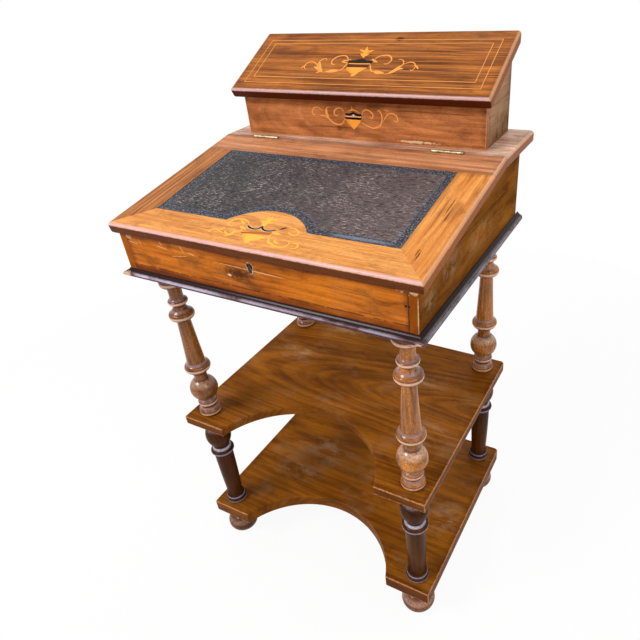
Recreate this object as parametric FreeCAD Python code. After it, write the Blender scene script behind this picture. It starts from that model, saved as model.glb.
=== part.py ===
import FreeCAD, Part
import math
import os

# Davenport writing desk: a sloping writing box on a stand of two shelves and turned
# columns, with a stationery box on the strip behind the writing lid.
# Millimetres, +Z up, front towards -Y, origin on the floor under the middle of the desk.

Vector = FreeCAD.Vector
X_AXIS = Vector(1, 0, 0)
Z_AXIS = Vector(0, 0, 1)
ORIGIN = Vector(0, 0, 0)

# ---------------------------------------------------------------- driving dimensions

# Writing box
box_width = 510.0
box_depth = 403.0
box_wall = 13.0              # front and side boards
box_back_wall = 12.0
bottom_thick = 12.0
back_height = 113.7          # side boards at the back, above the bottom board
moulding_projection = 9.5    # bead under a cove, in front
moulding_side_reach = 11.5   # and at the sides
moulding_bead = 7.0          # height of the bead
moulding_bead_root = 6.2     # projection where the cove meets it
moulding_foot = 6.5          # and where it ends underneath
moulding_cove = 2.8          # projection at the cove's middle
moulding_lip = 1.0           # flat top of the moulding against the box
moulding_tail = 10.0         # how far its side lengths run past the box's back
moulding_end_round = 7.0     # outer back corners, seen from above

# Top: fixed strip behind, sloping writing lid in front
side_overhang = 11.5
lid_front_overhang = 8.5
back_overhang = 40.0         # strip behind the writing box
strip_back_ledge = 17.0      # and behind the stationery box
strip_depth = 149.8
strip_thick = 18.0
lid_slope = 10.0             # degrees
lid_thick = 18.0
lid_rest_gap = 0.3           # under the closed lids
top_edge_round = 5.0         # upper edges of the lid and strip
under_edge_round = 4.0
lid_corner_round = 3.5       # outer corners, seen from above
strip_corner_round = 6.0

# Writing lid frame and leather
stile_width = 55.5
front_rail_width = 56.5
back_rail_width = 54.0
tongue_half_chord = 70.5     # rounded tongue of the front rail that bites into the leather
tongue_height = 37.5
leather_thick = 1.2
leather_recess = 0.3

# Stationery box
stationery_side_inset = 28.75    # inside the writing box's sides
stationery_depth = 110.6
stationery_back_height = 127.4
stationery_wall = 10.0
stationery_back_wall = 12.0
stationery_bottom_thick = 5.0
stationery_slope = 27.5      # degrees
stationery_lid_length = 150.0
stationery_lid_thick = 18.0
stationery_side_overhang = 11.5
stationery_edge_round = 4.5
stationery_corner_round = 3.0
divider_thick = 6.0
divider_groove = 2.0
divider_drop = 10.0          # dividers stop this far below the walls' edges
side_compartment = 117.25    # the middle compartment takes what is left

# Boxwood lines let into the stationery lid: margins from the lid's edges
line_width = 1.2
line_depth = 1.0
outer_line_margins = {"side": 21.0, "front": 20.0, "back": 19.0}
inner_line_margins = {"side": 33.5, "front": 34.0, "back": 28.0}

# Stand
shelf_side_inset = 1.0       # shelves inside the box's outline
middle_shelf_front_inset = 4.0
bottom_shelf_front_inset = 8.0
shelf_back_reach = 6.5       # shelves behind the box's back
middle_shelf_thick = 17.5
bottom_shelf_thick = 27.0
shelf_edge_round = 1.2
shelf_front_corner_round = 2.0
shelf_back_corner_round = 9.0
horn_corner_round = 1.6      # where the knee recess meets the front edge
middle_recess_margin = 93.0  # from the box's side to the mouth of the round knee recess
middle_recess_deep = 123.5
bottom_recess_margin = 89.0
bottom_recess_deep = 114.0
column_side_inset = 37.0     # column axes from the box's sides
column_front_inset = 39.5    # from its front face
column_back_inset = 28.5     # and from its back face
upper_column_length = 315.3
lower_column_length = 235.5
foot_height = 64.5
foot_radius = 32.0
foot_pad_radius = 17.0
foot_belly_height = 22.0
foot_neck_radius = 15.0
foot_neck_rise = 3.0         # from the belly's edge to the neck
foot_collar_height = 12.0
foot_collar_seat = 17.0
foot_collar_radius = 22.5
foot_collar_rise = 2.0
spigot_radius = 8.0
spigot_fit = 0.1
socket_depth = 20.0
socket_relief = 0.5
top_spigot_length = 9.5
top_socket_depth = 10.0

# Turned shapes, from the foot of each column up. The shaft takes the height that is left.
upper_heights = {
    "foot_rim": 13.0,
    "foot_dish": 6.0,
    "foot_head": 2.5,
    "bead_rim": 12.0,
    "bead_dish": 2.5,
    "bead_head": 1.0,
    "ball": 45.0,
    "ball_head": 3.0,
    "neck": 14.0,
    "wide_foot": 3.5,
    "wide_rim": 15.0,
    "wide_dish": 6.0,
    "shaft_head": 1.5,
    "ring_rim": 13.0,
    "ring_dish": 9.0,
    "band": 7.5,
    "small_rim": 8.0,
    "small_dish": 2.5,
    "long_neck": 23.0,
    "collar_foot": 1.5,
    "collar": 14.0,
    "cap_foot": 9.0,
    "cap": 10.8,
}
upper_radii = {
    "foot": 18.5,
    "foot_rim": 21.0,
    "foot_rim_head": 17.8,
    "foot_dish": 15.9,
    "foot_dish_head": 15.2,
    "bead_seat": 15.8,
    "bead_rim": 18.4,
    "bead_rim_head": 16.4,
    "bead_dish": 14.4,
    "bead_dish_head": 13.6,
    "ball_seat": 13.0,
    "ball": 26.0,
    "neck": 12.4,
    "wide_seat": 15.0,
    "wide_under": 18.5,
    "wide_rim": 23.8,
    "wide_rim_head": 21.0,
    "wide_dish": 17.8,
    "shaft_foot": 16.6,
    "shaft_middle": 13.9,
    "shaft_head": 11.7,
    "ring_under": 18.5,
    "ring_rim": 22.4,
    "ring_rim_head": 19.8,
    "ring_dish": 14.6,
    "small_under": 14.0,
    "small_rim": 17.3,
    "small_rim_head": 15.2,
    "small_dish": 13.2,
    "long_neck": 11.8,
    "neck_head": 12.4,
    "collar_seat": 15.5,
    "collar": 22.5,
    "cap_foot": 14.5,
    "cap": 20.0,
}
lower_heights = {
    "foot_ring": 9.5,
    "foot_ring_head": 1.5,
    "second_ring": 6.5,
    "second_ring_head": 2.0,
    "shaft_foot": 4.0,
    "shaft_head": 3.0,
    "wide_rim": 10.0,
    "wide_dish": 8.0,
    "neck": 2.5,
    "ball": 51.0,
    "ball_head": 8.0,
    "cap_foot": 2.0,
    "cap": 9.0,
}
lower_radii = {
    "foot": 18.5,
    "foot_ring": 21.2,
    "second_ring_seat": 16.8,
    "second_ring": 19.6,
    "shaft_foot": 15.6,
    "shaft_middle": 17.8,
    "shaft_head": 18.9,
    "wide_under": 20.0,
    "wide_rim": 23.5,
    "wide_rim_head": 20.8,
    "wide_dish": 17.0,
    "neck_foot": 15.6,
    "neck": 15.2,
    "ball_foot": 15.6,
    "ball": 25.2,
    "ball_head": 15.5,
    "cap_neck": 14.0,
    "cap": 20.0,
}

# Hinges: the writing lid's butts show in the joint, the stationery lid's stand behind
main_hinge = {
    "length": 52.0,
    "knuckles": 5,
    "knuckle_radius": 3.0,
    "pin_radius": 1.3,
    "leaf_thick": 1.5,
    "leaf_drop": 11.0,
    "leaf_gap": 0.4,
    "screw_drop": 7.0,
    "screw_length": 12.0,
    "screws": 3,
}
stationery_hinge = {
    "length": 38.0,
    "knuckles": 5,
    "knuckle_radius": 2.5,
    "pin_radius": 1.0,
    "leaf_thick": 1.2,
    "leaf_drop": 12.5,
    "leaf_gap": 0.4,
    "screw_drop": 9.0,
    "screw_length": 7.5,
    "screws": 2,
}
main_hinge_inset = 93.0      # hinge's middle from the lid's end
main_hinge_rise = 0.5        # pin above the top's surface
lid_joint_gap = 1.0          # between the lid's back edge and the strip
stationery_hinge_inset = 85.5
stationery_pin_setback = 2.7
pin_fit = 0.05
knuckle_gap = 0.3
knuckle_clearance = 0.4
screw_head_radius = 2.5
screw_shank_radius = 1.2
screw_fit = 0.05

# Lock, keyhole and strike
lock_plate_half = 32.0
lock_plate_height = 36.0
lock_plate_thick = 1.5
lock_body_half = 26.0
lock_body_height = 33.0
lock_body_deep = 8.5
lock_shell = 1.2
selvedge_deep = 10.0
bolt_half = 11.0
bolt_thick = 4.0
bolt_tail_half = 18.0
bolt_tail_top = 8.5          # below the lock's top
bolt_tail_bottom = 15.5
bolt_setback = 4.5           # bolt's middle, in front of the inner face
bolt_travel = 6.0
bolt_fit = 0.3
drill_pin_radius = 1.2
talon_radius = 5.0
keyhole_drop = 13.2          # keyhole's round part below the lock's top
keyhole_length = 7.9         # between the centres of its round ends
escutcheon_top_radius = 6.3
escutcheon_foot_radius = 4.5
escutcheon_wall = 1.2
escutcheon_deep = 4.0
escutcheon_proud = 0.3
strike_half = 20.0
strike_half_width = 6.0
strike_thick = 1.2
strike_screw_x = 16.0
strike_clearance = 0.8       # around and above the thrown bolt
small_head_radius = 1.9
small_shank_radius = 0.9
small_screw_length = 7.0
lock_screw_inset = 3.5

# ---------------------------------------------------------------- places worked out

lid_tan = math.tan(math.radians(lid_slope))
lid_cos = math.cos(math.radians(lid_slope))
stationery_tan = math.tan(math.radians(stationery_slope))
stationery_cos = math.cos(math.radians(stationery_slope))

front_reach = max(lid_front_overhang, moulding_projection)
hinge_reach = stationery_pin_setback + stationery_hinge["knuckle_radius"]
back_reach = max(back_overhang, back_overhang - strip_back_ledge + hinge_reach)
box_front_y = front_reach - (front_reach + box_depth + back_reach) / 2
box_back_y = box_front_y + box_depth
box_inner_y = box_front_y + box_wall
top_back_y = box_back_y + back_overhang
stationery_back_y = top_back_y - strip_back_ledge
hinge_y = top_back_y - strip_depth
lid_front_y = box_front_y - lid_front_overhang
half_box = box_width / 2
half_top = half_box + side_overhang

bottom_shelf_z = foot_height
lower_column_z = bottom_shelf_z + bottom_shelf_thick
middle_shelf_z = lower_column_z + lower_column_length
upper_column_z = middle_shelf_z + middle_shelf_thick
box_z = upper_column_z + upper_column_length
wall_z = box_z + bottom_thick
strip_z = wall_z + back_height
strip_top_z = strip_z + strip_thick

lid_back_y = hinge_y - lid_joint_gap / 2
lid_front_z = strip_top_z - (hinge_y - lid_front_y) * lid_tan
lid_length = (lid_back_y - lid_front_y) / lid_cos
hinge_z = strip_top_z + main_hinge_rise

stationery_front_y = stationery_back_y - stationery_depth
stationery_pin_y = stationery_back_y + stationery_pin_setback
stationery_joint = lid_rest_gap / stationery_cos
stationery_back_z = strip_top_z + stationery_back_height
stationery_pin_z = stationery_back_z + stationery_joint + stationery_pin_setback * stationery_tan
stationery_lid_back_z = stationery_back_z + 2 * stationery_joint + stationery_lid_thick / stationery_cos
stationery_lid_run = stationery_lid_length * stationery_cos
stationery_lid_front_y = stationery_back_y - stationery_lid_run
stationery_lid_front_z = stationery_lid_back_z - stationery_lid_run * stationery_tan
half_stationery = half_box - stationery_side_inset
half_stationery_lid = half_stationery + stationery_side_overhang
main_hinge_x = half_top - main_hinge_inset
stationery_hinge_x = half_stationery_lid - stationery_hinge_inset

column_x = half_box - column_side_inset
column_places = {
    "front_left": (-column_x, box_front_y + column_front_inset),
    "front_right": (column_x, box_front_y + column_front_inset),
    "back_left": (-column_x, box_back_y - column_back_inset),
    "back_right": (column_x, box_back_y - column_back_inset),
}


def wall_top(y):
    """Height of the writing box's sloping edge, a rest gap below the lid, at depth y."""
    lid_top = lid_front_z + (y - lid_front_y) * lid_tan
    return lid_top - lid_thick / lid_cos - lid_rest_gap


def stationery_top(y):
    """Height of the stationery box's sloping edge at depth y."""
    return stationery_back_z - (stationery_back_y - y) * stationery_tan


lock_top_z = wall_top(box_front_y)
keyhole_z = lock_top_z - keyhole_drop
bolt_y = box_inner_y - bolt_setback

# ---------------------------------------------------------------- shared helpers


def block(x0, x1, y0, y1, z0, z1):
    """Rectangular solid between two corners, given as spans."""
    return Part.makeBox(x1 - x0, y1 - y0, z1 - z0, Vector(x0, y0, z0))


def prism_x(outline, x0, x1):
    """Solid with the (y, z) outline, between two x planes."""
    points = [Vector(x0, y, z) for y, z in outline]
    face = Part.Face(Part.makePolygon(points + points[:1]))
    return face.extrude(Vector(x1 - x0, 0, 0))


def prism_z(outline, z0, z1):
    """Solid with the (x, y) outline, between two z planes."""
    points = [Vector(x, y, z0) for x, y in outline]
    face = Part.Face(Part.makePolygon(points + points[:1]))
    return face.extrude(Vector(0, 0, z1 - z0))


def rod(radius, start, along, length):
    """Round bar from start, in the direction along."""
    return Part.makeCylinder(radius, length, start, along)


def turned(profile, x, y, z):
    """Solid of revolution. The profile is a list of (radius, height) corners; a third
    value makes the step from the corner before it an arc that passes, at half height,
    through that radius."""
    edges = []
    for start, end in zip(profile, profile[1:]):
        first = Vector(start[0], 0, start[1])
        last = Vector(end[0], 0, end[1])
        if len(end) == 3:
            middle = Vector(end[2], 0, (start[1] + end[1]) / 2)
            edges.append(Part.Arc(first, middle, last).toShape())
        else:
            edges.append(Part.makeLine(first, last))
    edges.append(Part.makeLine(Vector(profile[-1][0], 0, profile[-1][1]), Vector(0, 0, profile[-1][1])))
    edges.append(Part.makeLine(Vector(0, 0, profile[-1][1]), Vector(0, 0, profile[0][1])))
    edges.append(Part.makeLine(Vector(0, 0, profile[0][1]), Vector(profile[0][0], 0, profile[0][1])))
    face = Part.Face(Part.Wire(edges))
    solid = face.revolve(ORIGIN, Z_AXIS, 360)
    solid.translate(Vector(x, y, z))
    return solid


def tilted(shape, angle, x, y, z):
    """Copy turned about X by an angle in degrees, then moved."""
    moved = shape.copy()
    moved.rotate(ORIGIN, X_AXIS, angle)
    moved.translate(Vector(x, y, z))
    return moved


def cut(shape, *tools):
    """Shape less each of the tools."""
    for tool in tools:
        shape = shape.cut(tool)
    return shape


def edges_where(shape, test):
    """Edges whose every vertex passes the test."""
    return [edge for edge in shape.Edges if all(test(v.Point) for v in edge.Vertexes)]


def near(a, b):
    return abs(a - b) < 0.001


def span_of(a, b):
    return min(a, b), max(a, b)


def group(solids):
    """One node of separate solids."""
    return Part.makeCompound(solids)


nodes = {}

# ---------------------------------------------------------------- writing box


def box_side(sign):
    """Side board: level under the strip, sloping under the lid."""
    outline = [
        (box_front_y, wall_z),
        (box_back_y, wall_z),
        (box_back_y, strip_z),
        (hinge_y, strip_z),
        (hinge_y, wall_top(hinge_y)),
        (box_front_y, wall_top(box_front_y)),
    ]
    outer = sign * half_box
    inner = sign * (half_box - box_wall)
    return prism_x(outline, min(outer, inner), max(outer, inner))


def keyhole_shape(top_radius, foot_radius, y0, y1):
    """Keyhole prism between two y planes: a round top and a narrower round-ended slot."""
    foot_z = keyhole_z - keyhole_length
    along = Vector(0, 1, 0)
    top = rod(top_radius, Vector(0, y0, keyhole_z), along, y1 - y0)
    foot = rod(foot_radius, Vector(0, y0, foot_z), along, y1 - y0)
    slot = block(-foot_radius, foot_radius, y0, y1, foot_z, keyhole_z)
    return top.fuse([foot, slot]).removeSplitter()


def countersunk(head_radius, shank_radius, head_deep, length):
    """Screw along +Y with its head's face at the origin."""
    along = Vector(0, 1, 0)
    head = Part.makeCone(head_radius, shank_radius, head_deep, ORIGIN, along)
    shank = rod(shank_radius, Vector(0, head_deep, 0), along, length - head_deep)
    return head.fuse(shank)


def screw_bore(shank_radius, length):
    """Pilot hole along +Y for such a screw."""
    return rod(shank_radius + screw_fit, ORIGIN, Vector(0, 1, 0), length + screw_fit)


def lock_body():
    """Lock case with its plate and selvedge, still solid inside."""
    plate = block(-lock_plate_half, lock_plate_half, box_inner_y - lock_plate_thick, box_inner_y,
                  lock_top_z - lock_plate_height, lock_top_z)
    body = block(-lock_body_half, lock_body_half, box_inner_y - lock_body_deep, box_inner_y,
                 lock_top_z - lock_body_height, lock_top_z)
    selvedge = block(-lock_plate_half, lock_plate_half, box_inner_y - selvedge_deep, box_inner_y,
                     lock_top_z - lock_plate_thick, lock_top_z)
    return plate.fuse([body, selvedge])


def lock_pocket():
    """Room for the lock in the front board, open at its sloping edge."""
    above = block(-lock_plate_half, lock_plate_half, box_inner_y - selvedge_deep, box_inner_y,
                  lock_top_z - lock_plate_thick, wall_z + back_height)
    return lock_body().fuse(above)


def lock_screw_places():
    """(x, z) of the four screws in the corners of the lock's plate."""
    x = lock_plate_half - lock_screw_inset
    low = lock_top_z - lock_plate_height + lock_screw_inset
    high = lock_top_z - 2 * lock_screw_inset
    return [(-x, low), (x, low), (-x, high), (x, high)]


def plate_screws(make):
    """Shapes made along +Y, turned to run forward from the lock's plate."""
    shapes = []
    for x, z in lock_screw_places():
        shape = make()
        shape.rotate(ORIGIN, Z_AXIS, 180)
        shape.translate(Vector(x, box_inner_y, z))
        shapes.append(shape)
    return shapes


def lock_screw():
    return countersunk(small_head_radius, small_shank_radius, lock_plate_thick, small_screw_length)


def lock_case():
    """Hollow case with the keyhole, the bolt's slot and the pin that a key turns on."""
    body = lock_body()
    inner = lock_body_half - lock_shell
    front = box_inner_y - lock_body_deep + lock_shell
    back = box_inner_y - lock_plate_thick
    low = lock_top_z - lock_body_height + lock_shell
    cavity = block(-inner, inner, front, back, low, lock_top_z - lock_plate_thick)
    slot = block(-bolt_half - bolt_fit, bolt_half + bolt_fit, bolt_y - bolt_thick / 2 - bolt_fit,
                 bolt_y + bolt_thick / 2 + bolt_fit, low, lock_top_z)
    key_way = keyhole_shape(escutcheon_top_radius - 2 * escutcheon_wall,
                            escutcheon_foot_radius - 2 * escutcheon_wall,
                            box_inner_y - lock_body_deep, front)
    drill_pin = rod(drill_pin_radius, Vector(0, front - lock_shell, keyhole_z), Vector(0, 1, 0),
                    back - front + 2 * lock_shell)
    case = cut(body, cavity, slot, key_way).fuse(drill_pin)
    return cut(case, *plate_screws(lock_screw))


def lock_bolt():
    """Bolt flush with the lock's top, with a tail whose notch clears the key's pin."""
    front = bolt_y - bolt_thick / 2
    back = bolt_y + bolt_thick / 2
    head = block(-bolt_half, bolt_half, front, back, lock_top_z - bolt_tail_top, lock_top_z)
    tail = block(-bolt_tail_half, bolt_tail_half, front, back, lock_top_z - bolt_tail_bottom,
                 lock_top_z - bolt_tail_top)
    talon = rod(talon_radius, Vector(0, front, keyhole_z), Vector(0, 1, 0), bolt_thick)
    return head.fuse(tail).removeSplitter().cut(talon)


def box_front():
    """Front board with its edge bevelled to the lid's slope, and the lock let in."""
    half = half_box - box_wall
    outline = [
        (box_front_y, wall_z),
        (box_inner_y, wall_z),
        (box_inner_y, wall_top(box_inner_y)),
        (box_front_y, wall_top(box_front_y)),
    ]
    board = prism_x(outline, -half, half)
    seat = keyhole_shape(escutcheon_top_radius, escutcheon_foot_radius,
                         box_front_y, box_front_y + escutcheon_deep)
    key_way = keyhole_shape(escutcheon_top_radius - 2 * escutcheon_wall,
                            escutcheon_foot_radius - 2 * escutcheon_wall, box_front_y, box_inner_y)
    bores = plate_screws(lambda: screw_bore(small_shank_radius, small_screw_length))
    return cut(board, seat, key_way, lock_pocket(), *bores)


def escutcheon():
    """Brass thread escutcheon, let in and a little proud."""
    front = box_front_y - escutcheon_proud
    back = box_front_y + escutcheon_deep
    outer = keyhole_shape(escutcheon_top_radius, escutcheon_foot_radius, front, back)
    inner = keyhole_shape(escutcheon_top_radius - escutcheon_wall,
                          escutcheon_foot_radius - escutcheon_wall, front, back)
    return outer.cut(inner)


def box_back():
    half = half_box - box_wall
    return block(-half, half, box_back_y - box_back_wall, box_back_y, wall_z, strip_z)


def box_bottom():
    """Bottom board with a blind socket over each upper column."""
    board = block(-half_box, half_box, box_front_y, box_back_y, box_z, wall_z)
    sockets = [
        rod(spigot_radius + spigot_fit, Vector(x, y, box_z), Z_AXIS, top_socket_depth)
        for x, y in column_places.values()
    ]
    return cut(board, *sockets)


def moulding_face(to_point):
    """Section of the base moulding. to_point turns (out, up) into a place: a bead at the
    foot, and a cove from it up to the flat lip against the box."""
    foot = to_point(moulding_foot, 0)
    widest = to_point(moulding_projection, moulding_bead / 2)
    root = to_point(moulding_bead_root, moulding_bead)
    cove = to_point(moulding_cove, (moulding_bead + bottom_thick) / 2)
    lip = to_point(moulding_lip, bottom_thick)
    edges = [
        Part.makeLine(to_point(0, 0), foot),
        Part.Arc(foot, widest, root).toShape(),
        Part.Arc(root, cove, lip).toShape(),
        Part.makeLine(lip, to_point(0, bottom_thick)),
        Part.makeLine(to_point(0, bottom_thick), to_point(0, 0)),
    ]
    return Part.Face(Part.Wire(edges))


def moulding_front():
    """Front length, mitred at both ends."""
    reach = half_box + moulding_side_reach
    face = moulding_face(lambda out, up: Vector(-reach, box_front_y - out, box_z + up))
    bar = face.extrude(Vector(2 * reach, 0, 0))
    mitre = [
        (-half_box, box_front_y),
        (half_box, box_front_y),
        (reach, box_front_y - moulding_projection),
        (-reach, box_front_y - moulding_projection),
    ]
    return bar.common(prism_z(mitre, box_z, wall_z))


def moulding_side(sign):
    """Side length: mitred in front, a little past the box behind, with that end rounded."""
    reach = half_box + moulding_side_reach
    start = box_front_y - moulding_projection
    end = box_back_y + moulding_tail
    widen = moulding_side_reach / moulding_projection
    face = moulding_face(lambda out, up: Vector(sign * (half_box + widen * out), start, box_z + up))
    bar = face.extrude(Vector(0, end - start, 0))
    mitre = [
        (sign * half_box, box_front_y),
        (sign * reach, start),
        (sign * reach, end),
        (sign * half_box, end),
    ]
    x0, x1 = span_of(0, sign * reach)
    plan = block(x0, x1, start, end, box_z, wall_z)
    ends = [e for e in plan.Edges if near(e.BoundBox.ZLength, bottom_thick)
            and near(e.CenterOfMass.x, sign * reach) and near(e.CenterOfMass.y, end)]
    plan = plan.makeFillet(moulding_end_round, ends)
    return bar.common(prism_z(mitre, box_z, wall_z)).common(plan)


# ---------------------------------------------------------------- hinges


def hinge_leaf(hinge, side):
    """One leaf of a butt hinge. Its pin lies along X at the origin and the leaf hangs
    down on the +Y side (side 1, fixed) or the -Y side (side -1, moving)."""
    half = hinge["length"] / 2
    pitch = hinge["length"] / hinge["knuckles"]
    radius = hinge["knuckle_radius"]
    near_y = hinge["leaf_gap"] / 2
    y0, y1 = span_of(side * near_y, side * (near_y + hinge["leaf_thick"]))
    leaf = block(-half, half, y0, y1, -hinge["leaf_drop"], 0)
    own = 0 if side == 1 else 1
    for index in range(hinge["knuckles"]):
        start = -half + index * pitch
        if index % 2 != own:
            leaf = leaf.cut(rod(radius + knuckle_clearance, Vector(start - knuckle_gap / 2, 0, 0), X_AXIS,
                                pitch + knuckle_gap))
    for index in range(own, hinge["knuckles"], 2):
        start = -half + index * pitch
        leaf = leaf.fuse(rod(radius, Vector(start + knuckle_gap / 2, 0, 0), X_AXIS, pitch - knuckle_gap))
    bore = rod(hinge["pin_radius"] + pin_fit, Vector(-half - 1, 0, 0), X_AXIS, hinge["length"] + 2)
    return cut(leaf, bore, *hinge_screws(hinge, side, leaf_screw))


def hinge_pin(hinge):
    return rod(hinge["pin_radius"], Vector(-hinge["length"] / 2, 0, 0), X_AXIS, hinge["length"])


def leaf_screw(hinge):
    return countersunk(screw_head_radius, screw_shank_radius, hinge["leaf_thick"], hinge["screw_length"])


def leaf_bore(hinge):
    return screw_bore(screw_shank_radius, hinge["screw_length"])


def hinge_screws(hinge, side, make):
    """Screws, or their bores, along a leaf and square to it."""
    pitch = hinge["length"] / hinge["screws"]
    shapes = []
    for index in range(hinge["screws"]):
        shape = make(hinge)
        if side == -1:
            shape.rotate(ORIGIN, Z_AXIS, 180)
        x = (index - (hinge["screws"] - 1) / 2) * pitch
        shape.translate(Vector(x, side * hinge["leaf_gap"] / 2, -hinge["screw_drop"]))
        shapes.append(shape)
    return shapes


def hinge_room(hinge, side):
    """Wood cut away for a leaf, and around the knuckles."""
    half = hinge["length"] / 2 + knuckle_gap
    depth = side * (hinge["leaf_gap"] / 2 + hinge["leaf_thick"])
    y0, y1 = span_of(0, depth)
    seat = block(-half, half, y0, y1, -hinge["leaf_drop"] - screw_fit, 0)
    barrel = rod(hinge["knuckle_radius"] + knuckle_clearance, Vector(-half, 0, 0), X_AXIS, 2 * half)
    return [seat, barrel] + hinge_screws(hinge, side, leaf_bore)


def at_main_hinge(shape, x):
    return tilted(shape, 0, x, hinge_y, hinge_z)


def at_stationery_hinge(shape, x):
    """Leaves lie in the sloping joint between the stationery box and its lid."""
    return tilted(shape, stationery_slope - 90, x, stationery_pin_y, stationery_pin_z)


def main_rooms(side):
    return [at_main_hinge(room, x) for x in (-main_hinge_x, main_hinge_x)
            for room in hinge_room(main_hinge, side)]


def stationery_rooms(side):
    return [at_stationery_hinge(room, x) for x in (-stationery_hinge_x, stationery_hinge_x)
            for room in hinge_room(stationery_hinge, side)]


def main_screws(side):
    return [at_main_hinge(screw, x) for x in (-main_hinge_x, main_hinge_x)
            for screw in hinge_screws(main_hinge, side, leaf_screw)]


def stationery_screws(side):
    return [at_stationery_hinge(screw, x) for x in (-stationery_hinge_x, stationery_hinge_x)
            for screw in hinge_screws(stationery_hinge, side, leaf_screw)]


# ---------------------------------------------------------------- top


def fixed_top_strip():
    """Strip behind the lid: rounded ends and back, square where the lid meets it."""
    front = hinge_y + lid_joint_gap / 2
    board = block(-half_top, half_top, front, top_back_y, strip_z, strip_top_z)
    corners = edges_where(board, lambda p: near(abs(p.x), half_top) and near(p.y, top_back_y))
    board = board.makeFillet(strip_corner_round, [e for e in corners if near(e.BoundBox.XLength, 0)])
    board = rounded_rim(board, strip_top_z, top_edge_round, lambda y: y > front + 1)
    board = rounded_rim(board, strip_z, under_edge_round, lambda y: y > front + 1)
    return cut(board, *main_rooms(1))


def rounded_rim(board, z, radius, keep):
    """Board with its edges at height z rounded, where keep accepts their middle's y."""
    rim = edges_where(board, lambda p: near(p.z, z))
    return board.makeFillet(radius, [e for e in rim if keep(e.CenterOfMass.y)])


def lid_blank(length, thick, half, slope_tan, top_round, under_round, corner_round):
    """Lid lying flat, from its front top edge at the origin back to a plumb end, with
    its front corners and its front and side edges rounded."""
    back_low = length - thick * slope_tan
    blank = prism_x([(0, 0), (length, 0), (back_low, -thick), (0, -thick)], -half, half)
    corners = edges_where(blank, lambda p: near(abs(p.x), half) and near(p.y, 0))
    blank = blank.makeFillet(corner_round, [e for e in corners if near(e.BoundBox.XLength, 0)])
    blank = rounded_rim(blank, 0, top_round, lambda y: y < back_low - 1)
    return rounded_rim(blank, -thick, under_round, lambda y: y < back_low - 1)


def lid_outline(points, arc_middle=None):
    """Face in the lid's plane. With arc_middle, the last side is an arc through it."""
    corners = [Vector(x, s, 0) for x, s in points]
    edges = [Part.makeLine(a, b) for a, b in zip(corners, corners[1:])]
    if arc_middle:
        edges.append(Part.Arc(corners[-1], Vector(arc_middle[0], arc_middle[1], 0), corners[0]).toShape())
    else:
        edges.append(Part.makeLine(corners[-1], corners[0]))
    return Part.Face(Part.Wire(edges))


def lid_slab(face, top, bottom):
    """Slab under an outline, between two depths measured down from the lid's surface."""
    slab = face.extrude(Vector(0, 0, top - bottom))
    slab.translate(Vector(0, 0, -top))
    return slab


def writing_lid():
    """Mitred front rail with its tongue, stiles, back rail, panel and leather, lying
    flat. Each is cut from one rounded blank."""
    blank = lid_blank(lid_length, lid_thick, half_top, lid_tan, top_edge_round, under_edge_round,
                      lid_corner_round)
    inner = half_top - stile_width
    outer = half_top + stile_width
    field_back = lid_length - back_rail_width
    tongue = lid_outline([(tongue_half_chord, front_rail_width), (-tongue_half_chord, front_rail_width)],
                         (0, front_rail_width + tongue_height))
    front_face = lid_outline([(-inner, front_rail_width), (inner, front_rail_width),
                              (outer, -front_rail_width), (-outer, -front_rail_width)])
    stile_face = lid_outline([(inner, front_rail_width), (outer, -front_rail_width),
                              (outer, field_back), (inner, field_back)])
    back_face = lid_outline([(-outer, field_back), (outer, field_back),
                             (outer, lid_length + lid_thick), (-outer, lid_length + lid_thick)])
    field = lid_outline([(-inner, front_rail_width), (inner, front_rail_width),
                         (inner, field_back), (-inner, field_back)])
    panel_top = leather_recess + leather_thick
    front = lid_slab(front_face, 0, lid_thick).fuse(lid_slab(tongue, 0, lid_thick)).removeSplitter()
    stile = lid_slab(stile_face, 0, lid_thick).common(blank)
    return {
        "lid_front_rail": front.common(blank),
        "lid_stile_right": stile,
        "lid_stile_left": stile.mirror(ORIGIN, X_AXIS),
        "lid_back_rail": lid_slab(back_face, 0, lid_thick).common(blank),
        "lid_panel": lid_slab(field, panel_top, lid_thick).cut(lid_slab(tongue, 0, lid_thick)),
        "writing_leather": lid_slab(field, leather_recess, panel_top).cut(lid_slab(tongue, 0, lid_thick)),
    }


def on_lid(shape):
    """From the flat lid's own frame to its place on the slope."""
    return tilted(shape, lid_slope, 0, lid_front_y, lid_front_z)


def strike_place():
    """Distance up the lid's slope of the strike plate's middle."""
    return (bolt_y - lid_front_y) / lid_cos + (lid_thick - strike_thick) * lid_tan


def strike_screw_set(make):
    """Screws, or their bores, up into the lid from the strike plate."""
    shapes = []
    for x in (-strike_screw_x, strike_screw_x):
        shape = make()
        shape.rotate(ORIGIN, X_AXIS, 90)
        shape.translate(Vector(x, strike_place(), -lid_thick))
        shapes.append(on_lid(shape))
    return shapes


def strike_screw():
    return countersunk(small_head_radius, small_shank_radius, strike_thick, small_screw_length)


def strike_block():
    """Strike plate before its hole, flush with the lid's underside."""
    s = strike_place()
    return on_lid(block(-strike_half, strike_half, s - strike_half_width, s + strike_half_width,
                        -lid_thick, -lid_thick + strike_thick))


def bolt_hole():
    """Room for the thrown bolt in the strike plate and the rail."""
    half = bolt_half + strike_clearance
    deep = bolt_thick / 2 + strike_clearance
    return block(-half, half, bolt_y - deep, bolt_y + deep, lock_top_z - strike_thick,
                 lock_top_z + bolt_travel + strike_clearance)


# ---------------------------------------------------------------- stationery box


def stationery_sheet(y0, y1, x0, x1, low, drop=0.0):
    """Upright board between two y planes with its top on the sloping edge."""
    outline = [(y0, low), (y1, low), (y1, stationery_top(y1) - drop), (y0, stationery_top(y0) - drop)]
    return prism_x(outline, x0, x1)


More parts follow.
